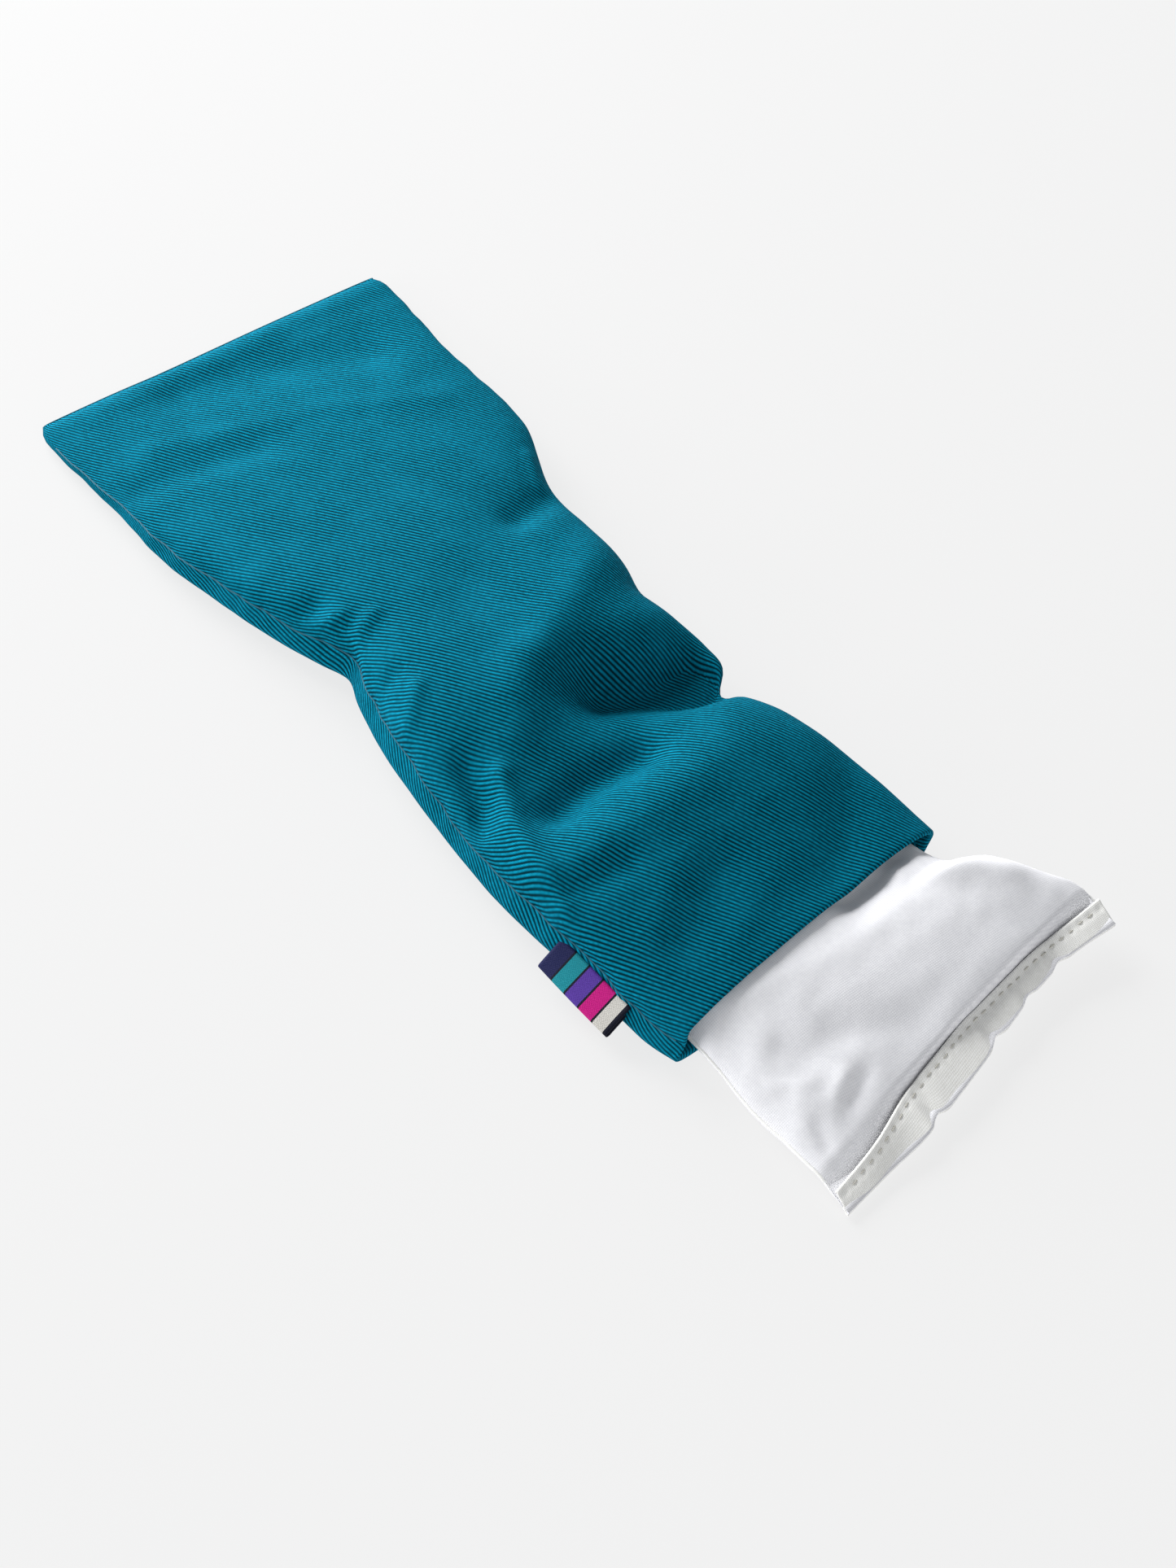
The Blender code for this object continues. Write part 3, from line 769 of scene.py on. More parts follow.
@dataclass
class SleeveCover:
    """The teal twill sleeve: two cloths, their side and end seams, and the turned-in mouth.

    Lengths are in millimetres.
    """

    twill: Material
    teal_thread: Material
    pale_thread: Material
    shape: SoftTube = COVER_SHAPE
    flat_width: float = 102.0
    flat_length: float = 252.0
    cloth: float = 0.7
    fold_radius: float = 0.75
    turn_in: float = 12.0
    left_seam: float = math.radians(170)
    right_seam: float = math.radians(-9)
    seam_sink: float = 2.3
    seam_reach: float = 4.0
    seam_thread: float = 0.22
    flat_end: float = -124.0
    full_after: float = 40.0
    edge_spread: float = 0.032
    edge_rate: float = 30.0
    pucker_share: float = 0.35
    pucker_scale: float = 5.0
    pucker_seed: float = 0.7
    pucker_row: float = 3.0
    ripple: float = 0.3
    ripple_scale: float = 7.0
    ripple_seed: float = 2.3
    ripple_reach: float = 12.0
    overlock_width: float = 1.2
    overlock_lift: float = 0.25
    overlock_thread: float = 0.14
    rows: int = 180
    columns: int = 108
    fold_rows: int = 7
    turn_rows: int = 8

    def places(self) -> np.ndarray:
        """Return the rows' places along the length, wider apart at the far seam."""
        first, last = self.shape.stations[0].x, self.shape.stations[-1].x
        share = np.linspace(0, 1, self.rows)
        near_edge = self.edge_spread * (1 - np.exp(-share * self.edge_rate))
        share = share * (1 - near_edge[-1]) + near_edge
        share = (share - share[0]) / (share[-1] - share[0])
        return first + (last - first) * share

    def panel(self, start: float, end: float) -> np.ndarray:
        """Return the outer grid of a panel between two seam angles."""
        across = np.linspace(start, end, self.columns)
        x, angle = np.meshgrid(self.places(), across, indexing="ij")
        return self.sink_seams(self.shape.surface(x, angle), x)

    def sink_seams(self, points: np.ndarray, x: np.ndarray) -> np.ndarray:
        """Draw the cloth in along both side seams, with small puckers.

        Args:
            points: the panel's grid.
            x: each point's place along the length.

        Returns:
            The grid with its seams drawn in.
        """
        steps = np.linalg.norm(np.diff(points, axis=1), axis=2)
        lengths = np.concatenate((np.zeros((len(points), 1)), np.cumsum(steps, axis=1)), axis=1)
        near = np.minimum(lengths, lengths[:, -1:] - lengths)
        swell = smooth_share((x - self.flat_end) / self.full_after)
        pucker = 1.0 + self.pucker_share * self.seam_noise(x)
        sink = self.seam_sink * swell * pucker * np.exp(-((near / self.seam_reach) ** 2))
        to_middle = self.shape.middle(x) - points[..., 1]
        to_widest = self.shape.value("widest", x) - points[..., 2]
        inward = np.stack((np.zeros_like(x), to_middle, to_widest), axis=2)
        length = np.linalg.norm(inward, axis=2, keepdims=True)
        moved = points + inward / np.maximum(length, 1e-6) * sink[..., None]
        swells = self.ripple * wrinkle(x, points[..., 1], self.ripple_scale, self.ripple_seed)
        moved[..., 2] += swells * np.exp(-((near / self.ripple_reach) ** 2)) * swell
        moved[..., 2] = np.maximum(moved[..., 2], self.shape.floor)
        return moved

    def seam_noise(self, x: np.ndarray) -> np.ndarray:
        """Return the noise that deepens and eases the seams along their length."""
        return wrinkle(x, np.full_like(x, self.pucker_row), self.pucker_scale, self.pucker_seed)

    def with_mouth(self, outer: np.ndarray) -> np.ndarray:
        """Return the grid with the rows that turn the cloth in at the mouth."""
        normal = grid_normals(outer)
        edge, edge_normal = outer[-1], normal[-1]
        rows = [outer]
        ahead = np.array([1.0, 0.0, 0.0])
        for step in range(1, self.fold_rows + 1):
            turn = math.pi * step / self.fold_rows
            inset = self.fold_radius * (1 - math.cos(turn))
            reach = self.fold_radius * math.sin(turn)
            rows.append((edge - edge_normal * inset + ahead * reach)[None])
        places = outer[:, self.columns // 2, 0]
        for place in np.linspace(places[-1] - 1.0, places[-1] - self.turn_in, self.turn_rows):
            index = int(np.argmin(np.abs(places - place)))
            rows.append((outer[index] - normal[index] * 2 * self.fold_radius)[None])
        return np.concatenate(rows, axis=0)

    def mouth_uv(self, points: np.ndarray) -> np.ndarray:
        """Return the cloth lengths of a panel, run on round the turned-in mouth."""
        uv = cloth_uv(points)
        edge = uv[self.rows - 1, :, 0]
        steps = np.linalg.norm(np.diff(points[self.rows - 1 :], axis=0), axis=2)
        uv[self.rows :, :, 0] = edge + np.cumsum(steps, axis=0) * MM
        uv[self.rows :, :, 1] = uv[self.rows - 1, :, 1]
        return uv

    def build_panel(self, name: str, start: float, end: float, *nodes: str) -> np.ndarray:
        """Args:
            name: the piece's name.
            start: the seam angle that it starts at.
            end: the seam angle that it ends at.
            nodes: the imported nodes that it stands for.

        Returns:
            The grid of its outer face.
        """
        points = self.with_mouth(self.panel(start, end))
        piece = grid_piece(name, points, self.mouth_uv(points), self.twill)
        thicken(piece, self.cloth)
        declare(piece, Body.COVER, Slot.TWILL, *nodes)
        return points

    def build_seams(self, top: np.ndarray) -> None:
        """Lay the thread in the side seams and along the far end."""
        outer = top[: self.rows]
        lines = {"right": outer[4:, 0], "left": outer[4:, -1], "end": outer[0, 2:-2]}
        for side, line in lines.items():
            piece = thread_piece(f"cover_{side}_seam", line[::2], self.seam_thread, self.teal_thread)
            declare(piece, Body.COVER, Slot.TEAL_THREAD, f"cover_{side}_seam_thread")

    def build_overlock(self, points: np.ndarray, name: str, node: str) -> None:
        """Zigzag the pale overlock along the raw edge of a turned-in hem.

        Args:
            points: the grid of the cloth that has the hem.
            name: the piece's name.
            node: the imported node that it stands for.
        """
        edge, before = points[-1], points[-2]
        normal = grid_normals(points)[-1]
        count = 2 * self.columns
        index = np.linspace(0, 1, count) * (self.columns - 1)
        low = np.floor(index).astype(int)
        high = np.minimum(low + 1, self.columns - 1)
        part = (index - low)[:, None]
        line = edge[low] * (1 - part) + edge[high] * part
        toward = before[low] * (1 - part) + before[high] * part - line
        toward /= np.linalg.norm(toward, axis=1, keepdims=True)
        zig = (np.arange(count) % 2)[:, None] * self.overlock_width
        path = line + toward * zig + normal[low] * self.overlock_lift
        piece = thread_piece(name, path, self.overlock_thread, self.pale_thread)
        declare(piece, Body.COVER, Slot.PALE_THREAD, node)

    def build(self) -> None:
        """Build every piece of the cover."""
        nodes = ("cover_top_panel", "cover_top_facing")
        top = self.build_panel("cover_top_cloth", self.right_seam, self.left_seam, *nodes)
        nodes = ("cover_bottom_panel", "cover_bottom_facing")
        full_turn = self.right_seam + 2 * math.pi
        bottom = self.build_panel("cover_bottom_cloth", self.left_seam, full_turn, *nodes)
        self.build_seams(top)
        self.build_overlock(top, "mouth_overlock_top", "top_facing_overlock")
        self.build_overlock(bottom, "mouth_overlock_bottom", "bottom_facing_overlock")


# ---------------------------------------------------------------- the label


@dataclass
class StripedLabel:
    """The folded ribbon loop in the left side seam. Lengths are in millimetres.

    The root is where the loop leaves the seam at its end away from the mouth, and root_run how
    far that place moves along the ribbon's width.
    """

    ribbon: Material
    start_x: float = 91.0
    width: float = 24.0
    root: tuple[float, float] = (-45.6, 10.2)
    root_run: tuple[float, float] = (1.0, -1.4)
    reach: float = 8.8
    droop: float = math.radians(37)
    lean: float = 0.06
    curl: float = 0.5
    ply_gap: float = 0.5
    ply: float = 0.35
    columns: int = 36
    rows: int = 24
    fold_rows: int = 9

    def loop(self) -> np.ndarray:
        """Return the loop's side view: how far out of the seam, and how far above its middle."""
        fold = self.reach - self.ply_gap
        half = self.rows // 2
        line = [(fold * step / half, self.ply_gap) for step in range(half)]
        for turn in np.linspace(math.pi / 2, -math.pi / 2, self.fold_rows):
            line.append((fold + self.ply_gap * math.cos(turn), self.ply_gap * math.sin(turn)))
        line += [(fold * step / half, -self.ply_gap) for step in range(half - 1, -1, -1)]
        return np.array(line)

    def build(self) -> None:
        line = self.loop()
        lengths = np.concatenate(([0], np.cumsum(np.linalg.norm(np.diff(line, axis=0), axis=1))))
        share, out = np.meshgrid(np.linspace(0, 1, self.columns), line[:, 0], indexing="ij")
        lift = line[:, 1] - self.curl * (2 * share - 1) ** 2 * (out / self.reach) ** 2
        level, fall = math.cos(self.droop), math.sin(self.droop)
        x = self.start_x + self.width * share - self.lean * out
        y = self.root[0] + self.root_run[0] * share - level * out - fall * lift
        z = self.root[1] + self.root_run[1] * share - fall * out + level * lift
        points = np.stack((x, y, z), axis=2)
        uv = np.stack((share * self.width, np.broadcast_to(lengths, share.shape)), axis=2) * MM
        piece = grid_piece("striped_ribbon_loop", points[:, ::-1], uv[:, ::-1], self.ribbon)
        thicken(piece, self.ply)
        declare(piece, Body.LABEL, Slot.RIBBON, "striped_label")


# ---------------------------------------------------------------- the inner bag

BAG_SHAPE = SoftTube(
    stations=(
        Station(-69.0, -40.0, 34.0, 4.5, 0.4, 0.4),
        Station(-67.5, -40.6, 34.6, 4.6, 1.4, 1.0),
        Station(-60.0, -41.6, 35.6, 5.6, 5.6, 2.4),
        Station(-50.0, -42.0, 36.0, 6.4, 9.4, 3.6),
        Station(-36.0, -41.0, 33.8, 6.8, 12.2, 3.8),
        Station(-22.0, -38.6, 31.0, 7.0, 13.4, 4.0),
        Station(-6.0, -35.0, 30.4, 7.0, 13.4, 4.0),
        Station(8.0, -35.2, 29.8, 7.0, 13.4, 4.0),
        Station(24.0, -39.0, 28.6, 7.0, 12.8, 4.0),
        Station(42.0, -42.0, 27.6, 7.0, 10.0, 4.0),
        Station(60.0, -43.2, 24.2, 7.0, 8.0, 4.0),
        Station(76.0, -43.0, 29.6, 7.0, 10.4, 4.0),
        Station(96.0, -41.0, 33.4, 6.8, 10.8, 3.8),
        Station(112.0, -39.6, 34.8, 6.6, 10.0, 3.3),
        Station(124.0, -38.6, 36.4, 6.8, 8.2, 2.9, 0.6),
        Station(130.0, -38.4, 37.6, 6.9, 7.9, 2.8, 1.2),
        Station(134.0, -38.4, 39.6, 6.8, 7.9, 2.7, 1.6),
        Station(136.0, -38.5, 42.8, 6.6, 8.0, 2.8, 1.8),
        Station(138.0, -38.6, 46.0, 6.4, 8.0, 2.9, 2.0),
        Station(143.0, -38.6, 49.6, 6.0, 7.7, 3.1, 2.5),
        Station(148.0, -38.2, 52.2, 5.8, 7.0, 3.5, 3.0),
        Station(154.0, -37.6, 55.0, 5.8, 5.7, 3.8, 3.0),
        Station(160.0, -37.2, 58.2, 5.6, 4.0, 3.8, 3.0),
        Station(164.0, -36.8, 59.2, 5.4, 2.8, 3.6, 2.9),
    ),
    strokes=(
        Stroke(1.6, 7.0, ((126.0, -34.0), (126.0, -22.0), (125.0, -8.0))),
        Stroke(-3.5, 5.0, ((123.0, 12.0), (122.0, 20.0), (121.0, 28.0))),
        Stroke(2.0, 5.0, ((124.0, 27.0), (131.0, 37.0), (138.0, 47.0))),
        Stroke(-1.6, 4.0, ((124.0, 38.0), (129.0, 46.0))),
        Stroke(-1.0, 4.5, ((148.0, -14.0), (153.0, -7.0), (156.0, 2.0))),
        Stroke(0.8, 4.5, ((160.0, 12.0), (157.0, 24.0), (155.0, 36.0))),
        Stroke(-0.7, 3.0, ((145.0, -26.0), (150.0, -22.0))),
        Stroke(0.7, 2.2, ((156.0, -29.0), (162.0, -25.0), (158.0, -18.0))),
        Stroke(-0.7, 2.0, ((163.0, -21.0), (160.0, -14.0))),
        Stroke(-0.7, 2.0, ((168.0, -32.0), (163.0, -30.0))),
        Stroke(0.5, 1.8, ((150.0, -33.0), (155.0, -26.0))),
    ),
    slant=((-69.0, 0.0), (60.0, 0.0), (95.0, -0.06), (126.0, -0.13), (164.0, -0.2)),
    crown_power=2.5,
    floor=1.6,
)


@dataclass
class SeedBag:
    """The white inner bag: two cloths, three seams, the stitched closing hem and the seeds.

    Lengths are in millimetres. Its upper side stays a clearance below the cover over the whole
    travel into the sleeve. Each crumple is the depth, scale and seed of a noise. The top cloth
    ends a tuck below the hem's inner edge, and the bottom cloth a lift above its outer one.
    """

    cotton: Material
    hem_cotton: Material
    white_thread: Material
    seeds: Material
    shape: SoftTube = BAG_SHAPE
    cover: SoftTube = COVER_SHAPE
    flat_width: float = 96.0
    flat_length: float = 241.0
    cloth: float = 0.35
    seam_thread: float = 0.42
    travel_in: float = 8.0
    travel_steps: int = 9
    mouth_fade: float = 3.0
    clearance: float = 1.9
    seed_gap: float = 2.2
    seed_inset: tuple[float, float] = (8.0, 18.0)
    seed_share: tuple[float, ...] = (1.0, 0.88, 0.7)
    seed_rows: int = 60
    crumples: Line = ((0.26, 9.0, 5.1), (0.14, 4.0, 1.7))
    hem_tuck: float = 1.8
    hem_lift: float = 0.6
    soften_times: int = 4
    soften_lift: float = 0.12
    rows: int = 190
    columns: int = 96
    hem_rows: int = 8
    left_seam: float = math.radians(176)
    right_seam: float = math.radians(-4)

    def under_cover(self, points: np.ndarray) -> np.ndarray:
        """Hold the upper surface below the cover wherever the bag can be.

        Args:
            points: a grid on the upper side, changed in place.

        Returns:
            The same grid.
        """
        x, y, z = points[..., 0], points[..., 1], points[..., 2]
        mouth = self.cover.stations[-1].x
        held = z.copy()
        for travel in np.linspace(0.0, -self.travel_in, self.travel_steps):
            room = self.cover.height(x + travel, y) - self.clearance
            past = x + travel - mouth - self.cover.shear(mouth) * y
            inside = smooth_share((self.mouth_fade - past) / self.mouth_fade)
            held = np.minimum(held, room * inside + held * (1 - inside))
        points[..., 2] = np.maximum(z + self.softened(held - z), self.shape.floor)
        return points

    def softened(self, change: np.ndarray) -> np.ndarray:
        """Return a change of height over a grid with its sharp edges rubbed down."""
        for _ in range(self.soften_times):
            wide = np.pad(change, 1, mode="edge")
            beside = wide[:-2, 1:-1] + wide[2:, 1:-1] + wide[1:-1, :-2] + wide[1:-1, 2:]
            change = np.minimum(change * 0.5 + beside * 0.125, change + self.soften_lift)
        return change

    def panel(self, start: float, end: float) -> np.ndarray:
        """Return the outer grid of a panel between two seam angles."""
        places = np.linspace(self.shape.stations[0].x, self.shape.stations[-1].x, self.rows)
        x, angle = np.meshgrid(places, np.linspace(start, end, self.columns), indexing="ij")
        points = self.shape.surface(x, angle)
        upper = smooth_share(np.sin(angle) * 2)
        for depth, scale, seed in self.crumples:
            points[..., 2] += depth * wrinkle(points[..., 0], points[..., 1], scale, seed) * upper
        return self.under_cover(points) if start < math.pi / 2 < end else points

    def to_hem(self, points: np.ndarray, line: np.ndarray, drop: float) -> np.ndarray:
        """Add the rows that run from the last cross-section to one edge of the hem.

        Args:
            points: the panel's grid.
            line: points along that edge of the hem, from right to left.
            drop: how far below the edge the cloth ends.

        Returns:
            The longer grid.
        """
        last = points[-1]
        ys = np.clip((last[:, 1] - last[:, 1].min()) / np.ptp(last[:, 1]), 0, 1)
        share = np.linspace(0, 1, len(line))
        goal = np.stack([np.interp(ys, share, line[:, axis]) for axis in range(3)], axis=1)
        goal[:, 2] -= drop
        rows = [(last * (1 - part) + goal * part)[None] for part in np.linspace(0, 1, self.hem_rows)[1:]]
        return np.concatenate((points, *rows), axis=0)

    def build_panel(self, name: str, points: np.ndarray, node: str) -> None:
        """Args:
            name: the piece's name.
            points: the grid of its outer face.
            node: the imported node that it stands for.
        """
        piece = grid_piece(name, points, cloth_uv(points), self.cotton)
        thicken(piece, self.cloth)
        declare(piece, Body.BAG, Slot.COTTON, node)

    def build_seams(self, top: np.ndarray) -> None:
        """Lay the thread along the bag's two sides and far end."""
        lines = {"right": top[2:, 0], "left": top[2:, -1], "end": top[0, 2:-2]}
        for side, line in lines.items():
            piece = thread_piece(f"bag_{side}_seam", line[::2], self.seam_thread, self.hem_cotton)
            declare(piece, Body.BAG, Slot.WHITE_THREAD, f"bag_{side}_seam_thread")

    def build_filling(self) -> None:
        """Build the seeds as one solid a little inside the cloth."""
        count = 2 * self.columns // 3
        first = self.shape.stations[0].x + self.seed_inset[0]
        last = self.shape.stations[-1].x - self.seed_inset[1]
        places = np.linspace(first, last, self.seed_rows)
        around = np.linspace(0, 2 * math.pi, count, endpoint=False)
        x, angle = np.meshgrid(places, around, indexing="ij")
        points = self.shape.surface(x, angle)
        middle = points.mean(axis=1, keepdims=True)
        points = middle + (points - middle) * np.array(self.seed_share)
        cloth = points.copy()
        cloth[..., 2] = self.shape.height(points[..., 0], points[..., 1])
        below = self.under_cover(cloth)[..., 2] - self.seed_gap
        points[..., 2] = np.clip(points[..., 2], self.shape.floor + self.seed_gap, below)
        piece = grid_piece("flax_seed_filling", points, np.zeros((*x.shape, 2)), self.seeds, closed=True)
        pick(piece)
        bpy.ops.object.mode_set(mode="EDIT")
        bpy.ops.mesh.select_all(action="SELECT")
        bpy.ops.mesh.fill_holes(sides=0)
        bpy.ops.mesh.normals_make_consistent(inside=False)
        bpy.ops.object.mode_set(mode="OBJECT")
        declare(piece, Body.BAG, Slot.SEEDS, "seed_filling")

    def build(self) -> None:
        """Build every piece of the bag."""
        hem = ClosingHem(self.hem_cotton, self.white_thread)
        inner, outer = hem.edges()
        top = self.to_hem(self.panel(self.right_seam, self.left_seam), inner, self.hem_tuck)
        self.build_panel("bag_top_cloth", top, "bag_top_panel")
        below = self.panel(self.left_seam, self.right_seam + 2 * math.pi)
        bottom = self.to_hem(below, outer, -self.hem_lift)
        self.build_panel("bag_bottom_cloth", bottom, "bag_bottom_panel")
        self.build_seams(top)
        self.build_filling()
        hem.build()


@dataclass
class ClosingHem:
    """The bag's open end, folded up over its top face and closed with a running stitch.

    Lengths are in millimetres. Each pucker is its place across and its depth, each wave its
    height, its length over a full turn of two pi and its start, and the dimple at each stitch
    and the groove along them their depth and width.
    """

    hem_cotton: Material
    white_thread: Material
    inner_line: Line = (
        (176.9, -36.6, 3.0),
        (173.3, -21.8, 4.6),
        (168.0, -9.0, 5.4),
        (164.0, 5.3, 5.8),
        (161.5, 14.3, 6.0),
        (159.5, 26.3, 6.6),
        (157.4, 40.3, 7.4),
        (156.4, 59.7, 8.6),
    )
    outer_line: Line = (
        (182.6, -37.6, 0.9),
        (180.3, -24.3, 1.5),
        (178.9, -11.9, 3.0),
        (175.9, -1.1, 3.6),
        (172.3, 10.9, 4.0),
        (168.9, 21.1, 4.6),
        (165.2, 33.5, 4.8),
        (163.4, 44.6, 5.8),
        (163.7, 58.6, 7.2),
    )
    puckers: Line = ((-6.4, 1.5), (17.4, 1.4), (30.5, 0.9), (42.0, 1.0))
    notch_width: float = 2.0
    notch_dip: float = 0.2
    pucker_sink: float = 0.5
    pucker_width: float = 1.3
    pucker_drift: float = 1.5
    edge_wave: tuple[float, ...] = (0.25, 4.3)
    face_wave: tuple[float, ...] = (0.25, 3.1, 1.0)
    dimple: tuple[float, ...] = (0.2, 0.8)
    groove: tuple[float, ...] = (0.12, 0.9)
    flat_depth: float = 14.0
    flat_width: float = 96.0
    cloth: float = 0.35
    floor: float = 0.45
    fold_height: float = 0.6
    roll_start: float = math.radians(243)
    tuck_rows: int = 3
    tuck_step: float = 1.2
    tuck_fall: float = 0.1
    stitch_inset: float = 2.0
    stitch_pitch: float = 3.0
    stitch_length: float = 1.7
    stitch_thread: float = 0.14
    stitch_margin: float = 1.5
    stitch_wander: float = 0.15
    stitch_bow: tuple[float, float] = (0.5, 0.9)
    stitch_points: int = 7
    columns: int = 300
    top_rows: int = 14
    fold_rows: int = 8

    @staticmethod
    def edge(line: Line, share: np.ndarray) -> np.ndarray:
        """Return points along one edge of the hem at shares of its width."""
        xs, ys, zs = zip(*line)
        at = ys[0] + (ys[-1] - ys[0]) * share
        return np.stack((along(ys, xs, at), at, along(ys, zs, at)), axis=1)

    def edges(self) -> tuple[np.ndarray, np.ndarray]:
        """Return points along the strip's inner and outer edges, from its left end."""
        share = np.linspace(0, 1, self.columns)
        inner = self.edge(self.inner_line, share)
        outer = self.edge(self.outer_line, share)
        for place, depth in self.puckers:
            notch = depth * np.exp(-(((outer[:, 1] - place) / self.notch_width) ** 2))
            outer[:, 0] -= notch
            inner[:, 2] -= self.notch_dip * notch
        inner[:, 2] += self.edge_wave[0] * np.sin(inner[:, 1] / self.edge_wave[1])
        return inner, outer

    def build(self) -> None:
        """Build the folded strip and its stitches."""
        inner, outer = self.edges()
        down = outer - inner
        depth = np.linalg.norm(down, axis=1)
        down /= depth[:, None]
        run = np.gradient(inner, axis=0)
        run /= np.linalg.norm(run, axis=1, keepdims=True)
        up = np.cross(down, run)
        up *= np.sign(up[:, 2:3])
        half = self.fold_height
        rows = []
        for turn in np.linspace(self.roll_start, math.pi / 2, self.fold_rows)[:-1]:
            rows.append(inner + down * (half * (1 + math.cos(turn))) + up * (half * math.sin(turn)))
        for part in np.arange(self.top_rows + 1) / self.top_rows:
            reach = half + (depth - 2 * half) * part
            sink = self.surface_sink(reach, inner[:, 1], part)
            rows.append(inner + down * reach[:, None] + up * (half - sink)[:, None])
        for turn in np.linspace(math.pi / 2, -math.pi / 2, self.fold_rows)[1:]:
            reach = depth - half + half * math.cos(turn)
            sink = self.surface_sink(reach, inner[:, 1], 1.0)
            rows.append(inner + down * reach[:, None] + up * (half * math.sin(turn) - sink)[:, None])
        for step in range(1, self.tuck_rows + 1):
            reach = depth - half - step * self.tuck_step
            rows.append(inner + down * reach[:, None] - up * (half + self.tuck_fall * step))
        points = np.stack(rows, axis=0)
        points[..., 2] = np.maximum(points[..., 2], self.floor)
        piece = grid_piece("closing_hem", points[:, ::-1], self.strip_uv(points)[:, ::-1], self.hem_cotton)
        thicken(piece, self.cloth)
        declare(piece, Body.BAG, Slot.HEM, "closure_hem")
        self.build_stitches(inner, down, up, run)

    def strip_uv(self, points: np.ndarray) -> np.ndarray:
        """Return the cloth lengths over the folded strip in metres."""
        uv = np.zeros((*points.shape[:2], 2))
        steps = np.linalg.norm(np.diff(points, axis=0), axis=2).mean(axis=1)
        uv[..., 0] = np.concatenate(([0.0], np.cumsum(steps)))[:, None] * MM
        uv[..., 1] = np.linspace(0, self.flat_width, self.columns)[None] * MM
        return uv

    def surface_sink(self, reach: np.ndarray, across: np.ndarray, part: float) -> np.ndarray:
        """Return how far the strip's face sinks at stitches and puckers.

        Args:
            reach: how far each point is from the inner edge.
            across: each point's place along Y.
            part: the row's share of the way to the outer edge.

        Returns:
            The sink in millimetres.
        """
        off_stitch = reach - self.stitch_inset
        phase = np.abs(((across / self.stitch_pitch) % 1.0) - 0.5) * self.stitch_pitch
        (deep, wide), (shallow, broad) = self.dimple, self.groove
        sink = deep * np.exp(-((phase / wide) ** 2)) * np.exp(-((off_stitch / wide) ** 2))
        sink = sink + shallow * np.exp(-((off_stitch / broad) ** 2))
        for place, depth in self.puckers:
            gap = across - place + self.pucker_drift * (1 - part)
            sink = sink + self.pucker_sink * depth * part * np.exp(-((gap / self.pucker_width) ** 2))
        height, length, start = self.face_wave
        return sink + height * np.sin(across / length + start) * part

    def build_stitches(self, inner: np.ndarray, down: np.ndarray, up: np.ndarray, run: np.ndarray) -> None:
        """Build each stitch as a short bowed thread and join them in one piece.

        Args:
            inner: points along the strip's inner edge.
            down: the direction to the outer edge at each point.
            up: the direction out of the face at each point.
            run: the direction along the edge at each point.
        """
        ys = inner[:, 1]
        parts = []
        first = math.ceil((ys[0] + self.stitch_margin) / self.stitch_pitch)
        last = math.floor((ys[-1] - self.stitch_margin) / self.stitch_pitch)
        for number in range(first, last):
            index = int(np.argmin(np.abs(ys - (number + 0.5) * self.stitch_pitch)))
            wander = self.stitch_wander * math.sin(number * 2.1)
            base = inner[index] + down[index] * (self.stitch_inset + wander)
            points = []
            for part in np.linspace(-0.5, 0.5, self.stitch_points):
                bow = self.stitch_bow[0] - self.stitch_bow[1] * part * part
                points.append(base + run[index] * part * self.stitch_length + up[index] * bow)
            parts.append(thread_piece("closing_stitches", points, self.stitch_thread, self.white_thread))
        pick(*parts)
        bpy.ops.object.join()
        piece = bpy.context.view_layer.objects.active
        piece.name = "closing_stitches"
        declare(piece, Body.BAG, Slot.WHITE_THREAD, "closure_thread")


# ---------------------------------------------------------------- the studio


@dataclass(frozen=True)
class Lamp:
    """A square soft light: where it stands round the object, its side and its power in watts."""

    name: str
    azimuth: float
    elevation: float
    distance: float
    size: float
    power: float


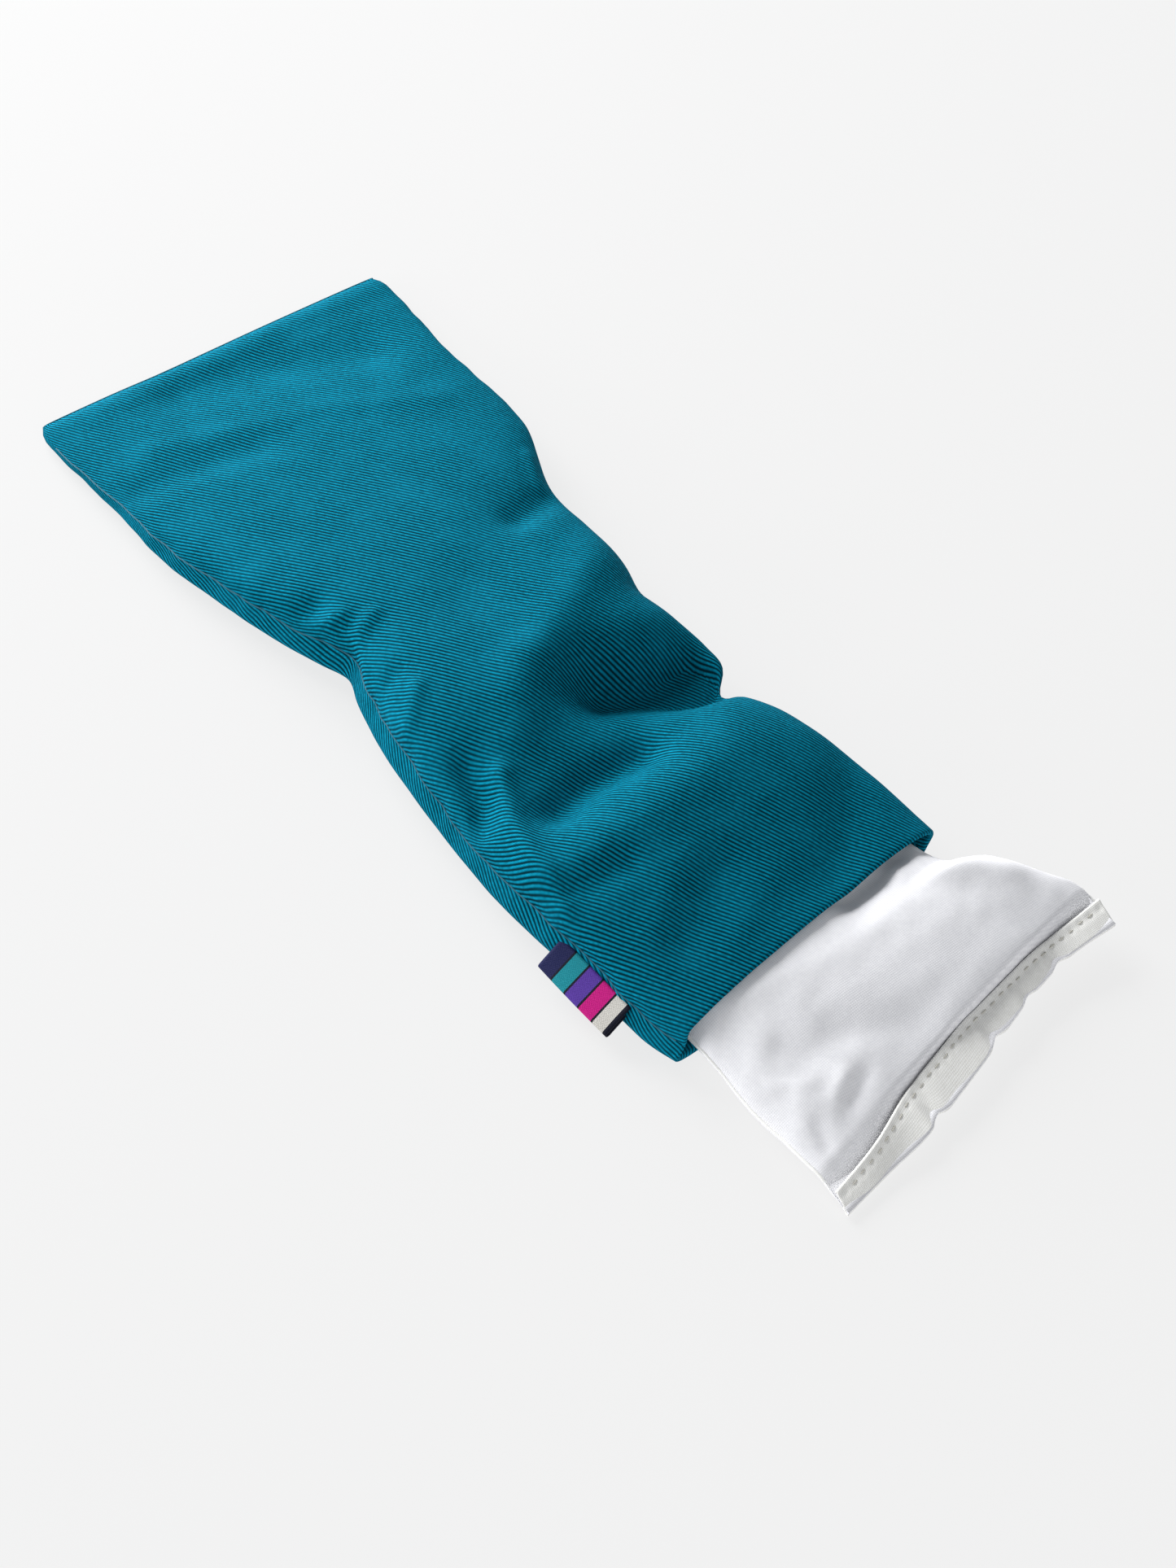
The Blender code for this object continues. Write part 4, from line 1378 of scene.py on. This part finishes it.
@dataclass
class Studio:
    """A plain pale floor, a large soft light from the far end with two cards, and the camera."""

    azimuth: float = math.radians(52.5)
    elevation: float = math.radians(51.5)
    distance: float = 0.785
    aim: tuple[float, float, float] = (0.0521, -0.0089, 0.0)
    focal_length: float = 99.65
    sensor_width: float = 36.0
    floor_side: float = 6.0
    floor_colour: str = "#5D5D5D"
    floor_glow: float = 0.77
    room_colour: str = "#F9FCFF"
    room_light: float = 0.25
    lamps: tuple[Lamp, ...] = (
        Lamp("softbox", math.radians(270), math.radians(24), 1.1, 0.8, 27.5),
        Lamp("white_card", math.radians(80), math.radians(22), 0.9, 0.6, 2.0),
        Lamp("low_card", math.radians(340), math.radians(8), 0.9, 0.6, 7.0),
    )

    def build_floor(self) -> None:
        """Lay the floor, a matt paper sweep lit from behind."""
        pick()
        bpy.ops.mesh.primitive_plane_add(size=self.floor_side, location=(0.0, 0.0, 0.0))
        floor = bpy.context.view_layer.objects.active
        floor.name = "studio_floor"
        made = bpy.data.materials.new("pale_paper_sweep")
        made.use_nodes = True
        shader = made.node_tree.nodes["Principled BSDF"]
        shader.inputs["Base Color"].default_value = linear(self.floor_colour)
        shader.inputs["Roughness"].default_value = 0.95
        shader.inputs["Specular IOR Level"].default_value = 0.0
        shader.inputs["Emission Color"].default_value = linear("#FFFFFF")
        shader.inputs["Emission Strength"].default_value = self.floor_glow
        floor.data.materials.append(made)

    def build_lights(self) -> None:
        """Hang the softbox and both cards, and let the room fill the rest."""
        world = bpy.data.worlds.new("studio_room")
        world.use_nodes = True
        background = world.node_tree.nodes["Background"]
        background.inputs["Color"].default_value = linear(self.room_colour)
        background.inputs["Strength"].default_value = self.room_light
        bpy.context.scene.world = world
        for lamp in self.lamps:
            data = bpy.data.lights.new(lamp.name, "AREA")
            data.shape = "SQUARE"
            data.size = lamp.size
            data.energy = lamp.power
            placed = bpy.data.objects.new(lamp.name, data)
            away = self.toward(lamp.azimuth, lamp.elevation)
            placed.location = away * lamp.distance
            placed.rotation_euler = away.to_track_quat("Z", "Y").to_euler()
            bpy.context.collection.objects.link(placed)

    @staticmethod
    def toward(azimuth: float, elevation: float) -> Vector:
        """Return the unit vector towards a place at that azimuth and elevation."""
        level = math.cos(elevation)
        return Vector((math.sin(azimuth) * level, -math.cos(azimuth) * level, math.sin(elevation)))

    def build_camera(self) -> None:
        """Set the camera at its angle."""
        data = bpy.data.cameras.new("studio_camera")
        data.sensor_fit = "HORIZONTAL"
        data.sensor_width = self.sensor_width
        data.lens = self.focal_length
        camera = bpy.data.objects.new("studio_camera", data)
        away = self.toward(self.azimuth, self.elevation)
        camera.location = Vector(self.aim) + away * self.distance
        camera.rotation_euler = away.to_track_quat("Z", "Y").to_euler()
        bpy.context.collection.objects.link(camera)
        bpy.context.scene.camera = camera

    def build(self) -> None:
        """Set the stage."""
        self.build_camera()
        self.build_floor()
        self.build_lights()
        bpy.context.scene.view_settings.view_transform = "Standard"


def main() -> None:
    """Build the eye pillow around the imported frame."""
    logging.basicConfig(level=logging.INFO)
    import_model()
    Studio().build()
    SleeveCover(
        twill=TwillFinish().build(),
        teal_thread=ThreadFinish("teal_sewing_thread", colour="#0A6A80", painted_hollow_shade="#064A5C").build(),
        pale_thread=ThreadFinish("pale_overlock_thread", colour="#C4C8C2", painted_hollow_shade="#A4A8A2").build(),
    ).build()
    StripedLabel(ribbon=RibbonFinish().build()).build()
    SeedBag(
        cotton=PlainWeaveFinish("white_plain_cotton", light="#FBFBFE", shade="#E6E6EB").build(),
        hem_cotton=PlainWeaveFinish("white_hem_cotton", light="#FFFFFD", shade="#E6E5E0").build(),
        white_thread=ThreadFinish("white_sewing_thread", colour="#D8D5CC", painted_hollow_shade="#B4B1A8").build(),
        seeds=SeedFinish().build(),
    ).build()


if __name__ == "__main__":
    main()
